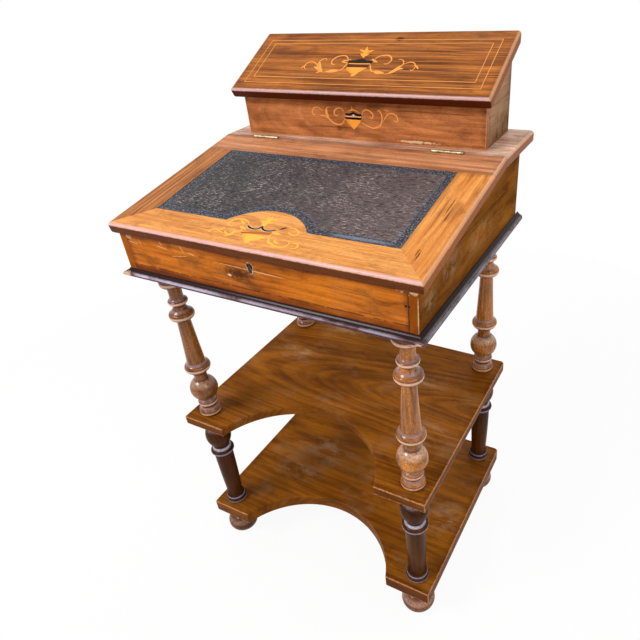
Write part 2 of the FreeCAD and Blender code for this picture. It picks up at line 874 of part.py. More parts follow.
def divider(sign):
    """Partition housed in grooves of the front and back boards."""
    inner = half_stationery - stationery_wall
    middle = sign * (inner - side_compartment - divider_thick / 2)
    y0 = stationery_front_y + stationery_wall - divider_groove
    y1 = stationery_back_y - stationery_back_wall + divider_groove
    x0 = middle - divider_thick / 2
    low = strip_top_z + stationery_bottom_thick
    return stationery_sheet(y0, y1, x0, x0 + divider_thick, low, divider_drop)


def stationery_box():
    dividers = {"left": divider(-1), "right": divider(1)}
    y_front = stationery_front_y + stationery_wall
    y_back = stationery_back_y - stationery_back_wall
    inner = half_stationery - stationery_wall
    front = stationery_sheet(stationery_front_y, y_front, -half_stationery, half_stationery, strip_top_z)
    back = stationery_sheet(y_back, stationery_back_y, -inner, inner, strip_top_z)
    pieces = {
        "stationery_front": cut(front, *dividers.values()),
        "stationery_back": cut(back, *dividers.values(), *stationery_rooms(1)),
        "stationery_side_left": stationery_sheet(y_front, stationery_back_y, -half_stationery, -inner,
                                                 strip_top_z),
        "stationery_side_right": stationery_sheet(y_front, stationery_back_y, inner, half_stationery,
                                                  strip_top_z),
        "stationery_bottom": block(-inner, inner, y_front, y_back, strip_top_z,
                                   strip_top_z + stationery_bottom_thick),
    }
    for side, board in dividers.items():
        pieces["stationery_divider_" + side] = board
    return pieces


def line_ring(margins):
    """Rectangle of inlaid line, flush with the lid's surface, in the lid's frame."""
    half = half_stationery_lid - margins["side"]
    front = margins["front"]
    back = stationery_lid_length - margins["back"]
    outer = block(-half, half, front, back, -line_depth, 0)
    inner = block(-half + line_width, half - line_width, front + line_width, back - line_width,
                  -line_depth, 0)
    return outer.cut(inner)


def on_stationery_lid(shape):
    return tilted(shape, stationery_slope, 0, stationery_lid_front_y, stationery_lid_front_z)


# ---------------------------------------------------------------- stand


def shelf(z, thick, front_inset, recess_margin, recess_deep, bore_places):
    """Shelf with a round knee recess in its front edge and a bore for each spigot."""
    half = half_box - shelf_side_inset
    recess_half = half_box - recess_margin
    front = box_front_y + front_inset
    back = box_back_y + shelf_back_reach
    corners = [(recess_half, front), (half, front), (half, back), (-half, back), (-half, front),
               (-recess_half, front)]
    face = lid_outline(corners, (0, front + recess_deep))
    board = face.extrude(Vector(0, 0, thick))
    board.translate(Vector(0, 0, z))
    upright = [e for e in board.Edges if near(e.BoundBox.ZLength, thick)]
    horns = [e for e in upright if abs(e.CenterOfMass.x) < half - 1]
    board = board.makeFillet(horn_corner_round, horns)
    for y, radius in ((front, shelf_front_corner_round), (back, shelf_back_corner_round)):
        upright = [e for e in board.Edges if near(e.BoundBox.ZLength, thick)]
        corners = [e for e in upright if near(abs(e.CenterOfMass.x), half) and near(e.CenterOfMass.y, y)]
        board = board.makeFillet(radius, corners)
    rims = [e for e in board.Edges if near(e.BoundBox.ZLength, 0)]
    board = board.makeFillet(shelf_edge_round, rims)
    bores = [rod(spigot_radius + spigot_fit, Vector(x, y, z), Z_AXIS, thick) for x, y in bore_places]
    return cut(board, *bores)


def stacked(radius, steps):
    """Turned profile built up from its foot. Each step is its height, its end radius
    and, for a round or a hollow, the radius half way."""
    level = 0.0
    profile = [(radius, level)]
    for height, *radii in steps:
        level += height
        profile.append((radii[0], level, *radii[1:]))
    return profile


def column_end(profile, spigot_drop, spigot_top):
    """Profile with a spigot below its foot and, if asked for, one above its head."""
    length = profile[-1][1]
    ends = [(spigot_radius, -spigot_drop), (spigot_radius, 0)]
    tip = [(spigot_radius, length), (spigot_radius, length + spigot_top)] if spigot_top else []
    return ends + profile + tip


def upper_column(x, y):
    """Column between the shelf and the box: dished ring, dished bead, ball, neck, wide
    dished ring, tapering shaft, two dished rings, long neck, collar and cap. Each dished
    ring is a round rim with a hollow above it."""
    h = upper_heights
    r = upper_radii
    steps = [
        (h["foot_rim"], r["foot_rim_head"], r["foot_rim"]),
        (h["foot_dish"], r["foot_dish_head"], r["foot_dish"]),
        (h["foot_head"], r["bead_seat"]),
        (h["bead_rim"], r["bead_rim_head"], r["bead_rim"]),
        (h["bead_dish"], r["bead_dish_head"], r["bead_dish"]),
        (h["bead_head"], r["ball_seat"]),
        (h["ball"], r["ball_seat"], r["ball"]),
        (h["ball_head"], r["neck"]),
        (h["neck"], r["wide_seat"], r["neck"]),
        (h["wide_foot"], r["wide_under"]),
        (h["wide_rim"], r["wide_rim_head"], r["wide_rim"]),
        (h["wide_dish"], r["shaft_foot"], r["wide_dish"]),
        (upper_column_length - sum(h.values()), r["shaft_head"], r["shaft_middle"]),
        (h["shaft_head"], r["ring_under"]),
        (h["ring_rim"], r["ring_rim_head"], r["ring_rim"]),
        (h["ring_dish"], r["shaft_head"], r["ring_dish"]),
        (h["band"], r["small_under"], r["shaft_head"]),
        (h["small_rim"], r["small_rim_head"], r["small_rim"]),
        (h["small_dish"], r["long_neck"], r["small_dish"]),
        (h["long_neck"], r["neck_head"], r["long_neck"]),
        (h["collar_foot"], r["collar_seat"]),
        (h["collar"], r["collar_seat"], r["collar"]),
        (h["cap_foot"], r["cap"], r["cap_foot"]),
        (h["cap"], r["cap"]),
    ]
    drop = middle_shelf_thick + socket_depth
    profile = column_end(stacked(r["foot"], steps), drop, top_spigot_length)
    return turned(profile, x, y, upper_column_z)


def lower_column(x, y):
    """Stouter column between the shelves: two rings, a shaft that swells upwards, a wide
    dished ring, ball and cap, with a socket for the spigot of the column above."""
    h = lower_heights
    r = lower_radii
    steps = [
        (h["foot_ring"], r["foot"], r["foot_ring"]),
        (h["foot_ring_head"], r["second_ring_seat"]),
        (h["second_ring"], r["second_ring_seat"], r["second_ring"]),
        (h["second_ring_head"], r["shaft_foot"]),
        (h["shaft_foot"], r["shaft_foot"]),
        (lower_column_length - sum(h.values()), r["shaft_head"], r["shaft_middle"]),
        (h["shaft_head"], r["wide_under"]),
        (h["wide_rim"], r["wide_rim_head"], r["wide_rim"]),
        (h["wide_dish"], r["neck_foot"], r["wide_dish"]),
        (h["neck"], r["ball_foot"], r["neck"]),
        (h["ball"], r["ball_head"], r["ball"]),
        (h["ball_head"], r["ball_head"], r["cap_neck"]),
        (h["cap_foot"], r["cap"]),
        (h["cap"], r["cap"]),
    ]
    drop = bottom_shelf_thick + socket_depth
    column = turned(column_end(stacked(r["foot"], steps), drop, 0.0), x, y, lower_column_z)
    return column.cut(socket(x, y, middle_shelf_z))


def socket(x, y, top_z):
    """Blind hole for a spigot, down from top_z."""
    depth = socket_depth + socket_relief
    return rod(spigot_radius + spigot_fit, Vector(x, y, top_z - depth), Z_AXIS, depth)


def bun_foot(x, y):
    """Turned bun foot with a collar under the shelf."""
    belly = 2 * foot_belly_height
    neck = foot_height - belly - foot_neck_rise - foot_collar_rise - foot_collar_height
    steps = [
        (belly, foot_pad_radius, foot_radius),
        (foot_neck_rise, foot_neck_radius),
        (neck, foot_neck_radius),
        (foot_collar_rise, foot_collar_seat),
        (foot_collar_height, foot_collar_seat, foot_collar_radius),
    ]
    return turned(stacked(foot_pad_radius, steps), x, y, 0).cut(socket(x, y, foot_height))


# ---------------------------------------------------------------- the desk

nodes["box_front"] = box_front()
nodes["box_side_left"] = box_side(-1)
nodes["box_side_right"] = box_side(1)
nodes["box_back"] = box_back()
nodes["box_bottom"] = box_bottom()
nodes["moulding_front"] = moulding_front()
nodes["moulding_left"] = moulding_side(-1)
nodes["moulding_right"] = moulding_side(1)
nodes["fixed_top_strip"] = fixed_top_strip()
nodes["keyhole_escutcheon"] = escutcheon()
nodes["lock_case"] = lock_case()
nodes["lock_screws"] = group(plate_screws(lock_screw))
nodes["lock_bolt"] = lock_bolt()

lid_pieces = {name: on_lid(shape) for name, shape in writing_lid().items()}
strike_bores = strike_screw_set(lambda: screw_bore(small_shank_radius, small_screw_length))
lid_pieces["lid_front_rail"] = cut(lid_pieces["lid_front_rail"], strike_block(), bolt_hole(), *strike_bores)
lid_pieces["lid_back_rail"] = cut(lid_pieces["lid_back_rail"], *main_rooms(-1))
nodes.update(lid_pieces)
nodes["lid_strike_plate"] = cut(strike_block(), bolt_hole(), *strike_screw_set(strike_screw))
nodes["lid_strike_screws"] = group(strike_screw_set(strike_screw))

for side, x in (("left", -main_hinge_x), ("right", main_hinge_x)):
    nodes["hinge_strip_leaf_" + side] = at_main_hinge(hinge_leaf(main_hinge, 1), x)
    nodes["hinge_lid_leaf_" + side] = at_main_hinge(hinge_leaf(main_hinge, -1), x)
    nodes["hinge_pin_" + side] = at_main_hinge(hinge_pin(main_hinge), x)
nodes["strip_hinge_screws"] = group(main_screws(1))
nodes["lid_hinge_screws"] = group(main_screws(-1))

nodes.update(stationery_box())
stationery_blank = lid_blank(stationery_lid_length, stationery_lid_thick, half_stationery_lid,
                             stationery_tan, stationery_edge_round, stationery_edge_round,
                             stationery_corner_round)
line_rings = [line_ring(outer_line_margins), line_ring(inner_line_margins)]
stationery_board = on_stationery_lid(cut(stationery_blank, *line_rings))
nodes["stationery_lid_board"] = cut(stationery_board, *stationery_rooms(-1))
nodes["stationery_lid_lines"] = on_stationery_lid(group(line_rings))
hinge_places = (-stationery_hinge_x, stationery_hinge_x)
box_leaf = hinge_leaf(stationery_hinge, 1)
lid_leaf = hinge_leaf(stationery_hinge, -1)
back_pin = hinge_pin(stationery_hinge)
nodes["stationery_box_leaves"] = group([at_stationery_hinge(box_leaf, x) for x in hinge_places])
nodes["stationery_lid_leaves"] = group([at_stationery_hinge(lid_leaf, x) for x in hinge_places])
nodes["stationery_hinge_pins"] = group([at_stationery_hinge(back_pin, x) for x in hinge_places])
nodes["stationery_box_screws"] = group(stationery_screws(1))
nodes["stationery_lid_screws"] = group(stationery_screws(-1))

nodes["middle_shelf"] = shelf(middle_shelf_z, middle_shelf_thick, middle_shelf_front_inset,
                              middle_recess_margin, middle_recess_deep, column_places.values())
nodes["bottom_shelf"] = shelf(bottom_shelf_z, bottom_shelf_thick, bottom_shelf_front_inset,
                              bottom_recess_margin, bottom_recess_deep, column_places.values())
for place, (x, y) in column_places.items():
    nodes["upper_column_" + place] = upper_column(x, y)
    nodes["lower_column_" + place] = lower_column(x, y)
    nodes["bun_foot_" + place] = bun_foot(x, y)

os.makedirs("parts", exist_ok=True)
for name, shape in nodes.items():
    shape.exportStep("parts/" + name + ".step")
    print(name, len(shape.Solids), round(shape.Volume / 1000.0, 2), "cm3", shape.isValid())
print(len(nodes), "nodes")
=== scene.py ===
import math

import bpy
import numpy as np
from mathutils import Matrix, Vector


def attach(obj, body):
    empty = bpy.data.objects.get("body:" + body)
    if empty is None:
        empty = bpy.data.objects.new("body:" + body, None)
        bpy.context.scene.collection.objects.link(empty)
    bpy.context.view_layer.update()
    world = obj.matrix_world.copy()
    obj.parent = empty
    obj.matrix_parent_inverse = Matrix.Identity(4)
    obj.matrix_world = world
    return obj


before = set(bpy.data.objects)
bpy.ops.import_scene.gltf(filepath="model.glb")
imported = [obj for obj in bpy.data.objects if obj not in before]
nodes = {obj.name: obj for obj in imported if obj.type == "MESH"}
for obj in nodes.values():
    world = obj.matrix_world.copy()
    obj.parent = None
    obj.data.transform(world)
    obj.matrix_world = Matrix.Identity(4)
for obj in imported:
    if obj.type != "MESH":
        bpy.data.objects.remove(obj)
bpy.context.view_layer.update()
print("frame loaded:", len(nodes), "nodes")

cameraView = {
    "place": (0.504958, -0.743793, 1.072172),
    "right": (0.87755627, 0.47407277, -0.07176354),
    "up": (-0.21516068, 0.52311735, 0.82465394),
    "lens": 32.098,            # millimetres, as is the sensor
    "sensor": 36,
    "shift": (-0.0799, 0.0228),
    "near": 0.05,
}
studio = {
    "glow": 0.55,              # soft light from all round
    "floorHalf": 30.0,
    "floorTone": (0.86, 0.86, 0.86, 1.0),
    "white": (1.0, 1.0, 1.0, 1.0),
    "floorWhite": 0.93,        # share of plain white the camera sees on the floor
    "fade": (0.8, 1.5),        # the floor turns plain white between these distances
    "lamps": [                 # place, aim, width, height, power, colour
        ((-1.5, -2.1, 2.9), (0.0, 0.0, 0.75), 1.3, 1.0, 78, (1.0, 0.95, 0.95)),
        ((2.4, -0.9, 2.0), (0.0, 0.0, 0.5), 1.6, 1.6, 20, (0.97, 0.98, 1.0)),
        ((0.2, 2.4, 2.6), (0.0, 0.0, 0.8), 2.0, 1.2, 24, (1.0, 1.0, 1.0)),
    ],
}


def makeCamera(view):
    data = bpy.data.cameras.new("camera")
    data.sensor_width = view["sensor"]
    data.lens = view["lens"]
    data.shift_x, data.shift_y = view["shift"]
    data.clip_start = view["near"]
    camera = bpy.data.objects.new("camera", data)
    bpy.context.scene.collection.objects.link(camera)
    right, up = Vector(view["right"]), Vector(view["up"])
    turn = Matrix((right, up, right.cross(up))).transposed().to_4x4()
    camera.matrix_world = Matrix.Translation(view["place"]) @ turn
    bpy.context.scene.camera = camera


def makeLamps(lamps):
    for index, (place, aim, width, height, power, colour) in enumerate(lamps):
        data = bpy.data.lights.new("lamp" + str(index), "AREA")
        data.shape = "RECTANGLE"
        data.size, data.size_y = width, height
        data.energy = power
        data.color = colour
        lamp = bpy.data.objects.new(data.name, data)
        bpy.context.scene.collection.objects.link(lamp)
        lamp.location = place
        lamp.rotation_euler = (Vector(aim) - Vector(place)).to_track_quat("-Z", "Y").to_euler()


# Linear colour from 0 to 255 values, as a paint chart gives them.
def paint(red, green, blue):
    shares = [value / 255 for value in (red, green, blue)]
    return (*[s / 12.92 if s < 0.04045 else ((s + 0.055) / 1.055) ** 2.4 for s in shares], 1.0)


# A node's output, so that sums on it are written as plain Python.
class Wire:
    def __init__(self, finish, socket):
        self.finish, self.socket = finish, socket

    def sum(self, operation, *values):
        return self.finish.node("Math", {"operation": operation}, values)

    def __add__(self, other):
        return self.sum("ADD", self, other)

    def __sub__(self, other):
        return self.sum("SUBTRACT", self, other)

    def __rsub__(self, other):
        return self.sum("SUBTRACT", other, self)

    def __mul__(self, other):
        return self.sum("MULTIPLY", self, other)

    def __truediv__(self, other):
        return self.sum("DIVIDE", self, other)

    def __pow__(self, other):
        return self.sum("POWER", self, other)

    def __abs__(self):
        return self.sum("ABSOLUTE", self)

    __radd__ = __add__
    __rmul__ = __mul__


# Nodes of one material or of the world. node() adds any node: its settings first, then
# the values or wires of its sockets.
class Finish:
    def __init__(self, owner):
        self.owner = owner
        owner.use_nodes = True
        self.tree = owner.node_tree
        self.tree.nodes.clear()

    def node(self, kind, settings=None, sockets=(), output=0):
        made = self.tree.nodes.new("ShaderNode" + kind)
        for key, value in (settings or {}).items():
            setattr(made, key, value)
        pairs = sockets.items() if isinstance(sockets, dict) else enumerate(sockets)
        for key, value in pairs:
            if isinstance(value, Wire):
                self.tree.links.new(value.socket, made.inputs[key])
            else:
                made.inputs[key].default_value = value
        return Wire(self, made.outputs[output]) if len(made.outputs) else None

    def place(self):
        return self.node("TexCoord", output="Object")

    def split(self, vector):
        parts = self.node("SeparateXYZ", None, [vector]).socket.node.outputs
        return [Wire(self, part) for part in parts]

    # two colours by their share; on this node sockets 6 and 7 and output 2 are the colours
    def blend(self, factor, first, second):
        settings = {"data_type": "RGBA", "clamp_factor": True}
        return self.node("Mix", settings, {0: factor, 6: first, 7: second}, 2)

    # 0 at low, 1 at high and a smooth curve between
    def ease(self, value, low, high):
        settings = {"interpolation_type": "SMOOTHSTEP"}
        return self.node("MapRange", settings, {0: value, 1: low, 2: high, 3: 0.0, 4: 1.0})

    def least(self, first, second):
        return self.node("Math", {"operation": "MINIMUM"}, [first, second])

    def most(self, first, second):
        return self.node("Math", {"operation": "MAXIMUM"}, [first, second])

    # noise with patches about size metres across, which may differ by axis
    def cloud(self, vector, size, detail=3.0, rough=0.55, bend=0.0):
        scale = tuple(1 / s for s in size) if isinstance(size, tuple) else (1 / size,) * 3
        sized = self.node("VectorMath", {"operation": "MULTIPLY"}, [vector, scale])
        sockets = {"Vector": sized, "Scale": 1.0, "Detail": detail, "Roughness": rough,
                   "Distortion": bend}
        return self.node("TexNoise", None, sockets)

    # noise along one number, with bands about step apart
    def line(self, value, step):
        sockets = {"W": value / step, "Scale": 1.0, "Detail": 2.0}
        return self.node("TexNoise", {"noise_dimensions": "1D"}, sockets)

    def shift(self, vector, amounts):
        return self.node("VectorMath", {"operation": "ADD"}, [vector, amounts])

    # the vector in a frame with that centre, turn and size
    def local(self, vector, centre, turn=(0.0, 0.0, 0.0), size=(1.0, 1.0, 1.0)):
        sockets = {"Vector": vector, "Location": centre, "Rotation": turn, "Scale": size}
        return self.node("Mapping", {"vector_type": "TEXTURE"}, sockets)

    def length(self, vector):
        return self.node("VectorMath", {"operation": "LENGTH"}, [vector], "Value")

    def sign(self, value):
        return self.node("Math", {"operation": "SIGN"}, [value])

    # 1 for what the camera sees, straight on or in a gloss, and 0 for all other light
    def direct(self):
        kinds = ("Is Camera Ray", "Is Glossy Ray", "Is Transmission Ray")
        camera, glossy, through = [self.node("LightPath", output=kind) for kind in kinds]
        return self.most(camera, self.most(glossy, through))

    # the shader and the output; fixed holds what is the same all over
    def surface(self, colour, rough, height, relief, fixed=None):
        bump = self.node("Bump", None, {"Strength": 1.0, "Distance": relief, "Height": height})
        sockets = {"Base Color": colour, "Roughness": rough, "Normal": bump}
        sockets.update(fixed or {})
        self.node("OutputMaterial", None, [self.node("BsdfPrincipled", None, sockets)])
        return self.owner


def newFinish(name):
    return Finish(bpy.data.materials.new(name))


# The material in every slot of these pieces.
def dress(names, material):
    for name in names:
        slots = nodes[name].data.materials
        for index in range(len(slots)):
            slots[index] = material
        if not len(slots):
            slots.append(material)


# Wear placed on the wood: colour, strength, added roughness, and how far out it stays full.
markKinds = {
    "chip": (paint(236, 200, 158), 0.85, 0.35, 0.65),
    "scuff": (paint(224, 166, 118), 0.65, 0.25, 0.65),
    "scratch": (paint(240, 190, 140), 0.66, 0.25, 0.40),
    "split": (paint(226, 178, 122), 0.90, 0.25, 0.65),
    "dirt": (paint(46, 22, 12), 0.80, 0.10, 0.40),
    "knot": (paint(52, 22, 6), 0.85, 0.00, 0.10),
    "stain": (paint(84, 40, 18), 0.65, 0.00, 0.30),
    "bloom": (paint(190, 164, 130), 0.42, 0.20, -0.20),
    "nail": (paint(20, 12, 10), 0.95, 0.20, 0.65),
}


# 1 inside a patch with a ragged edge and 0 outside it: the distance from its centre, in
# its own half sizes, is roughened by the grit and eases out from hard to 1.
def spot(finish, place, grit, centre, size, ragged=1.2, turn=(0.0, 0.0, 0.0), hard=0.65):
    away = finish.length(finish.local(place, centre, turn, size))
    return 1 - finish.ease(away + (grit - 0.5) * ragged, hard, 1.0)


# A mark is its kind, centre, half sizes and raggedness, and it may have a turn. Bloom is
# broken up into wisps.
def wear(finish, place, grit, marks, colour, rough):
    if any(kind == "bloom" for kind, *where in marks):
        wisps = patchy(finish, place, "wisps")
    for kind, *where in marks:
        tone, strength, dulled, hard = markKinds[kind]
        mask = spot(finish, place, grit, *where, hard=hard)
        if kind == "bloom":
            mask = mask * wisps
        colour = finish.blend(mask * strength, colour, tone)
        rough = rough + mask * dulled
    return colour, rough


lidSlope, boxSlope = math.radians(10), math.radians(27.5)
slabs = {                      # boards with rounded rims: frame, outline in it and rounding
    "lid": {"place": (0.0, -0.22525, 0.750302), "slope": lidSlope, "half": 0.2665,
            "front": 0.0, "back": 9.0, "round": 0.0050},
    "strip": {"place": (0.0, 0.07695, 0.8035), "slope": 0.0, "half": 0.2665,
              "front": -9.0, "back": 0.1493, "round": 0.0050},
    "boxLid": {"place": (0.0, 0.076198, 0.882607), "slope": boxSlope, "half": 0.23775,
               "front": 0.0, "back": 9.0, "round": 0.0045},
}


# How far round the rounded rim a place is: -1 where the flat top ends, 1 where the
# upright side begins. It is the depth less the distance from the outline, in roundings.
# The second value is 1 on the front rim and 0 on the others.
def rimTurn(finish, place, slab):
    x, s, h = finish.split(finish.local(place, slab["place"], (slab["slope"], 0.0, 0.0)))
    front, side = s - slab["front"], finish.least(slab["half"] - abs(x), slab["back"] - s)
    turned = (h + finish.least(front, side)) * (-1 / slab["round"])
    return turned, finish.ease(side - front, -0.001, 0.001)


# Noises of the wood: patch size along, across and behind, detail, roughness and bend.
woodNoise = {
    "drift": ((0.34, 0.10, 0.10), 2.0),
    "fibre": ((0.060, 0.0015, 0.0015), 4.0, 0.7),
    "broad": ((0.22, 0.008, 0.008), 3.0, 0.6),
    "clouds": ((0.11, 0.035, 0.035), 2.0, 0.5),
    "blotches": ((0.070, 0.022, 0.022), 3.0, 0.65, 0.8),
    "lines": ((0.60, 0.0013, 0.0013), 2.0, 0.5),
    "pores": ((0.0050, 0.00045, 0.00045), 1.0),
    "grit": (0.0045, 3.0, 0.7),
    "soft": (0.07, 3.0, 0.6),
    "dashes": ((0.012, 0.05, 0.05), 2.0),
    "wisps": ((0.050, 0.024, 0.024), 4.0, 0.7, 0.6),
}
woodStep = {                   # the values between which each of them sets in
    "rings": (0.32, 0.68),
    "blotches": (0.48, 0.70),
    "lines": (0.56, 0.64),
    "pores": (0.60, 0.70),
    "haze": (0.50, 0.72),
    "fore": (0.30, 0.75),
    "dashes": (0.40, 0.50),
    "wisps": (0.42, 0.62),
    # rimIn and rimOut bound the painted highlight round a rounded rim; under sets in the painted
    # shade on the rim's lower half
    "rimIn": (-1.25, -0.45),   # round a rim, by rimTurn
    "rimOut": (0.35, 0.95),
    "under": (0.45, 0.95),
    "edge": (0.0004, 0.0024),  # metres from an edge
    "dirtShade": (0.0, 0.012),
    "score": (0.0003, 0.0010),
    "flank": (-0.0034, -0.0022),
    "below": (-0.001, 0.0),
    "end": (0.0006, 0.0014),   # metres behind the front face
}
woodLook = {                   # what a board has unless its own row says otherwise
    "light": paint(196, 104, 38),
    "deep": paint(132, 62, 20),
    "vein": paint(58, 24, 10),
    "edge": paint(222, 152, 96),
    "haze": paint(164, 136, 104),
    "foreTone": 0.7,           # the most light wood in a front end that shows
    "flankTone": paint(80, 34, 12),
    "flankShade": 0.25,        # how strong that tone is, as are the next two
    "belowTone": paint(112, 42, 16),
    "belowShade": 0.45,
    "scoreTone": paint(34, 14, 8),
    "dirtShadeTone": paint(74, 30, 12),
    "dirtShade": 0.35,             # dirt and painted shade along the board's edges
    # rim and rimSide: a painted highlight, with pale worn polish, round the rounded rims at the
    # front and the sides; under, underSide and underShade: painted shade on the rims' lower half
    "rim": paint(226, 184, 182),
    "rimSide": paint(244, 184, 136),
    "under": paint(70, 18, 2),
    "underSide": paint(146, 78, 30),
    "underShade": 0.9,
    "rings": 0.10,             # shares of the year rings, fine fibre, broad bands and clouds
    "fibre": 0.40,
    "broad": 0.30,
    "clouds": 0.30,
    "shade": 0.34,             # how dark the blotches are
    "soft": 0.22,              # lower sets the light and the dark wood harder apart
    "veins": 0.50,             # how strong the dark streaks are
    "veinLine": 0.58,          # lower gives more of them
    "veinStep": 0.13,          # how softly they set in
    "veinSize": (0.20, 0.0050, 0.0050),
    "lines": 0.0,              # thin pale lines along the grain
    "pores": 0.45,
    "wear": 0.40,              # how strong the worn edges are
    "bloom": 0.06,             # dusty haze
    "ring": 0.0042,            # metres from year ring to year ring
    "pith": (0.06, -0.09),     # where the heart of the tree was, across and behind
    "lean": (0.01, 0.03),      # how the heart runs off along the board
    "wander": 0.030,
    "shine": 0.34,
    "coat": 0.02,
    "gloss": 0.05,
    "relief": 0.00035,         # metres of bump
    # rimShine: how strong the painted highlight on the rounded rims is
    "rimShine": 0.75,
    "slab": None,              # a row of slabs, for a board with rounded rims
    "score": None,             # height of a dashed dark line, and how strong it is
    "fore": None,              # colours of a front end that shows
    "flank": None,             # height of the top, for a board whose upright faces are darker
    "seed": 0.0,
    "marks": [],
}


def patchy(finish, vector, name):
    return finish.ease(finish.cloud(vector, *woodNoise[name]), *woodStep[name])


# Wood colour, open pores and fine fibre. Year rings are noise along the distance from a
# leaning heart, and streaks are noise drawn out along the grain.
def figured(finish, grain, look):
    u, v, w = finish.split(grain)
    seeded = finish.shift(grain, (look["seed"] * 1.7, look["seed"] * 0.9, look["seed"] * 2.3))
    drift = finish.cloud(seeded, *woodNoise["drift"]) - 0.5
    across = v + drift * look["wander"] - u * look["lean"][0] - look["pith"][0]
    behind = w - u * look["lean"][1] - look["pith"][1]
    reach = (across * across + behind * behind) ** 0.5 + look["seed"]
    rings = finish.ease(finish.line(reach, look["ring"]), *woodStep["rings"])
    fibre = finish.cloud(seeded, *woodNoise["fibre"])
    broad = finish.cloud(seeded, *woodNoise["broad"])
    clouds = finish.cloud(seeded, *woodNoise["clouds"])
    tone = rings * look["rings"] + fibre * look["fibre"]
    tone = tone + broad * look["broad"] + clouds * look["clouds"]
    middle = (look["rings"] + look["fibre"] + look["broad"] + look["clouds"]) / 2
    tone = finish.ease(tone, middle - look["soft"], middle + look["soft"])
    colour = finish.blend(tone, look["deep"], look["light"])
    blotches = patchy(finish, seeded, "blotches")
    colour = finish.blend(blotches * look["shade"], colour, look["vein"])
    drawn = finish.cloud(seeded, look["veinSize"], 3.0, 0.6, 0.12)
    veins = finish.ease(drawn, look["veinLine"], look["veinLine"] + look["veinStep"])
    colour = finish.blend(veins * look["veins"], colour, look["vein"])
    if look["lines"]:
        lines = patchy(finish, seeded, "lines")
        colour = finish.blend(lines * look["lines"], colour, look["edge"])
    pores = patchy(finish, seeded, "pores")
    colour = finish.blend(pores * look["pores"], colour, look["vein"])
    return colour, pores, fibre


# Turn with X along the grain and Z out of the face, and the board's middle and half
# sizes in that turn.
def boardFrame(name, look):
    along, out = Vector(look["grain"]).normalized(), Vector(look["face"]).normalized()
    turn = Matrix((along, out.cross(along), out)).transposed()
    mesh = nodes[name].data
    spots = np.empty(len(mesh.vertices) * 3)
    mesh.vertices.foreach_get("co", spots)
    inside = spots.reshape(-1, 3) @ np.array(turn)
    low, high = inside.min(0), inside.max(0)
    return turn, turn @ Vector((low + high) / 2), (high - low) / 2


# A board's wood, then what age has added, with painted light: haze, a front end in another
# colour, a darker flank, a scored line, dirt and painted shade by the edges, on rounded rims a
# painted highlight with pale worn polish and painted shade under it, worn edges on other
# boards, and its own marks.
def boardFinish(name, row):
    look = {**woodLook, **row}
    finish = newFinish("wood_" + name)
    place = finish.place()
    y, z = finish.split(place)[1:]
    turn, centre, half = boardFrame(name, look)
    grain = finish.local(place, tuple(centre), tuple(turn.to_euler()))
    colour, pores, fibre = figured(finish, grain, look)
    grit = finish.cloud(finish.shift(place, (look["seed"],) * 3), *woodNoise["grit"])
    soft = finish.cloud(finish.shift(place, (look["seed"], 0.4, 0.2)), *woodNoise["soft"])
    haze = finish.ease(soft, *woodStep["haze"]) * look["bloom"]
    colour = finish.blend(haze, colour, look["haze"])
    if look["fore"]:
        end = 1 - finish.ease(y - frontFace, *woodStep["end"])
        mixed = finish.ease(soft, *woodStep["fore"]) * look["foreTone"]
        fore = finish.blend(mixed, look["fore"]["deep"], look["fore"]["light"])
        colour = finish.blend(end, colour, fore)
    if look["flank"]:
        below = 1 - finish.ease(z - look["flank"] + (grit - 0.5) * 0.001, *woodStep["flank"])
        colour = finish.blend(below * look["flankShade"], colour, look["flankTone"])
    if look["score"]:
        height, strength = look["score"]
        dashes = patchy(finish, place, "dashes")
        below = 1 - finish.ease(z - height, *woodStep["below"])
        colour = finish.blend(below * look["belowShade"], colour, look["belowTone"])
        scored = 1 - finish.ease(abs(z + (grit - 0.5) * 0.0012 - height), *woodStep["score"])
        colour = finish.blend(scored * dashes * strength, colour, look["scoreTone"])
    near = [float(size) - abs(part) for size, part in zip(half, finish.split(grain))]
    nearest = finish.least(near[0], near[1])
    # dirt and painted shade along the board's edges, ragged
    dirtShade = 1 - finish.ease(nearest + (soft - 0.5) * 0.030, *woodStep["dirtShade"])
    colour = finish.blend(dirtShade * look["dirtShade"], colour, look["dirtShadeTone"])
    # on a rounded rim: painted shade on its lower half, then a painted highlight with pale worn
    # polish round its top, strongest on the front rim
    if look["slab"]:
        turned, ahead = rimTurn(finish, place, slabs[look["slab"]])
        turned = turned + (grit - 0.5) * 0.5
        rim = finish.ease(turned, *woodStep["rimIn"])
        rim = rim * (1 - finish.ease(turned, *woodStep["rimOut"]))
        under = finish.blend(ahead, look["underSide"], look["under"])
        shaded = finish.ease(turned, *woodStep["under"]) * look["underShade"]
        colour = finish.blend(shaded, colour, under)
        paintedSheen = finish.blend(ahead, look["rimSide"], look["rim"])
        colour = finish.blend(rim * (ahead * 0.3 + 0.7) * look["rimShine"], colour, paintedSheen)
    else:
        second = finish.most(nearest, finish.least(finish.most(near[0], near[1]), near[2]))
        rim = 1 - finish.ease(second + (grit - 0.5) * 0.005, *woodStep["edge"])
        colour = finish.blend(rim * look["wear"], colour, look["edge"])
    rough = look["shine"] + pores * 0.20 + haze * 0.6 + soft * 0.10
    colour, rough = wear(finish, place, grit, look["marks"], colour, rough)
    height = fibre * 0.25 - pores * 0.5 + soft * 0.6
    fixed = {"Coat Weight": rim * 0.25 + look["coat"], "Coat Roughness": 0.20,
             "IOR": 1.45, "Specular IOR Level": look["gloss"]}
    return finish.surface(colour, rough, height, look["relief"], fixed)


lidGrain = (0, math.cos(lidSlope), math.sin(lidSlope))
lidFace = (0, -math.sin(lidSlope), math.cos(lidSlope))
boxFace = (0, -math.sin(boxSlope), math.cos(boxSlope))
sideways, inward, upright, forward = (1, 0, 0), (0, 1, 0), (0, 0, 1), (0, -1, 0)
frontFace, sideFace = -0.2168, 0.2550                # the faces that marks lie on
stationeryFace, stationerySide = 0.0986, 0.2263
middleTop, bottomTop = 0.3445, 0.0915

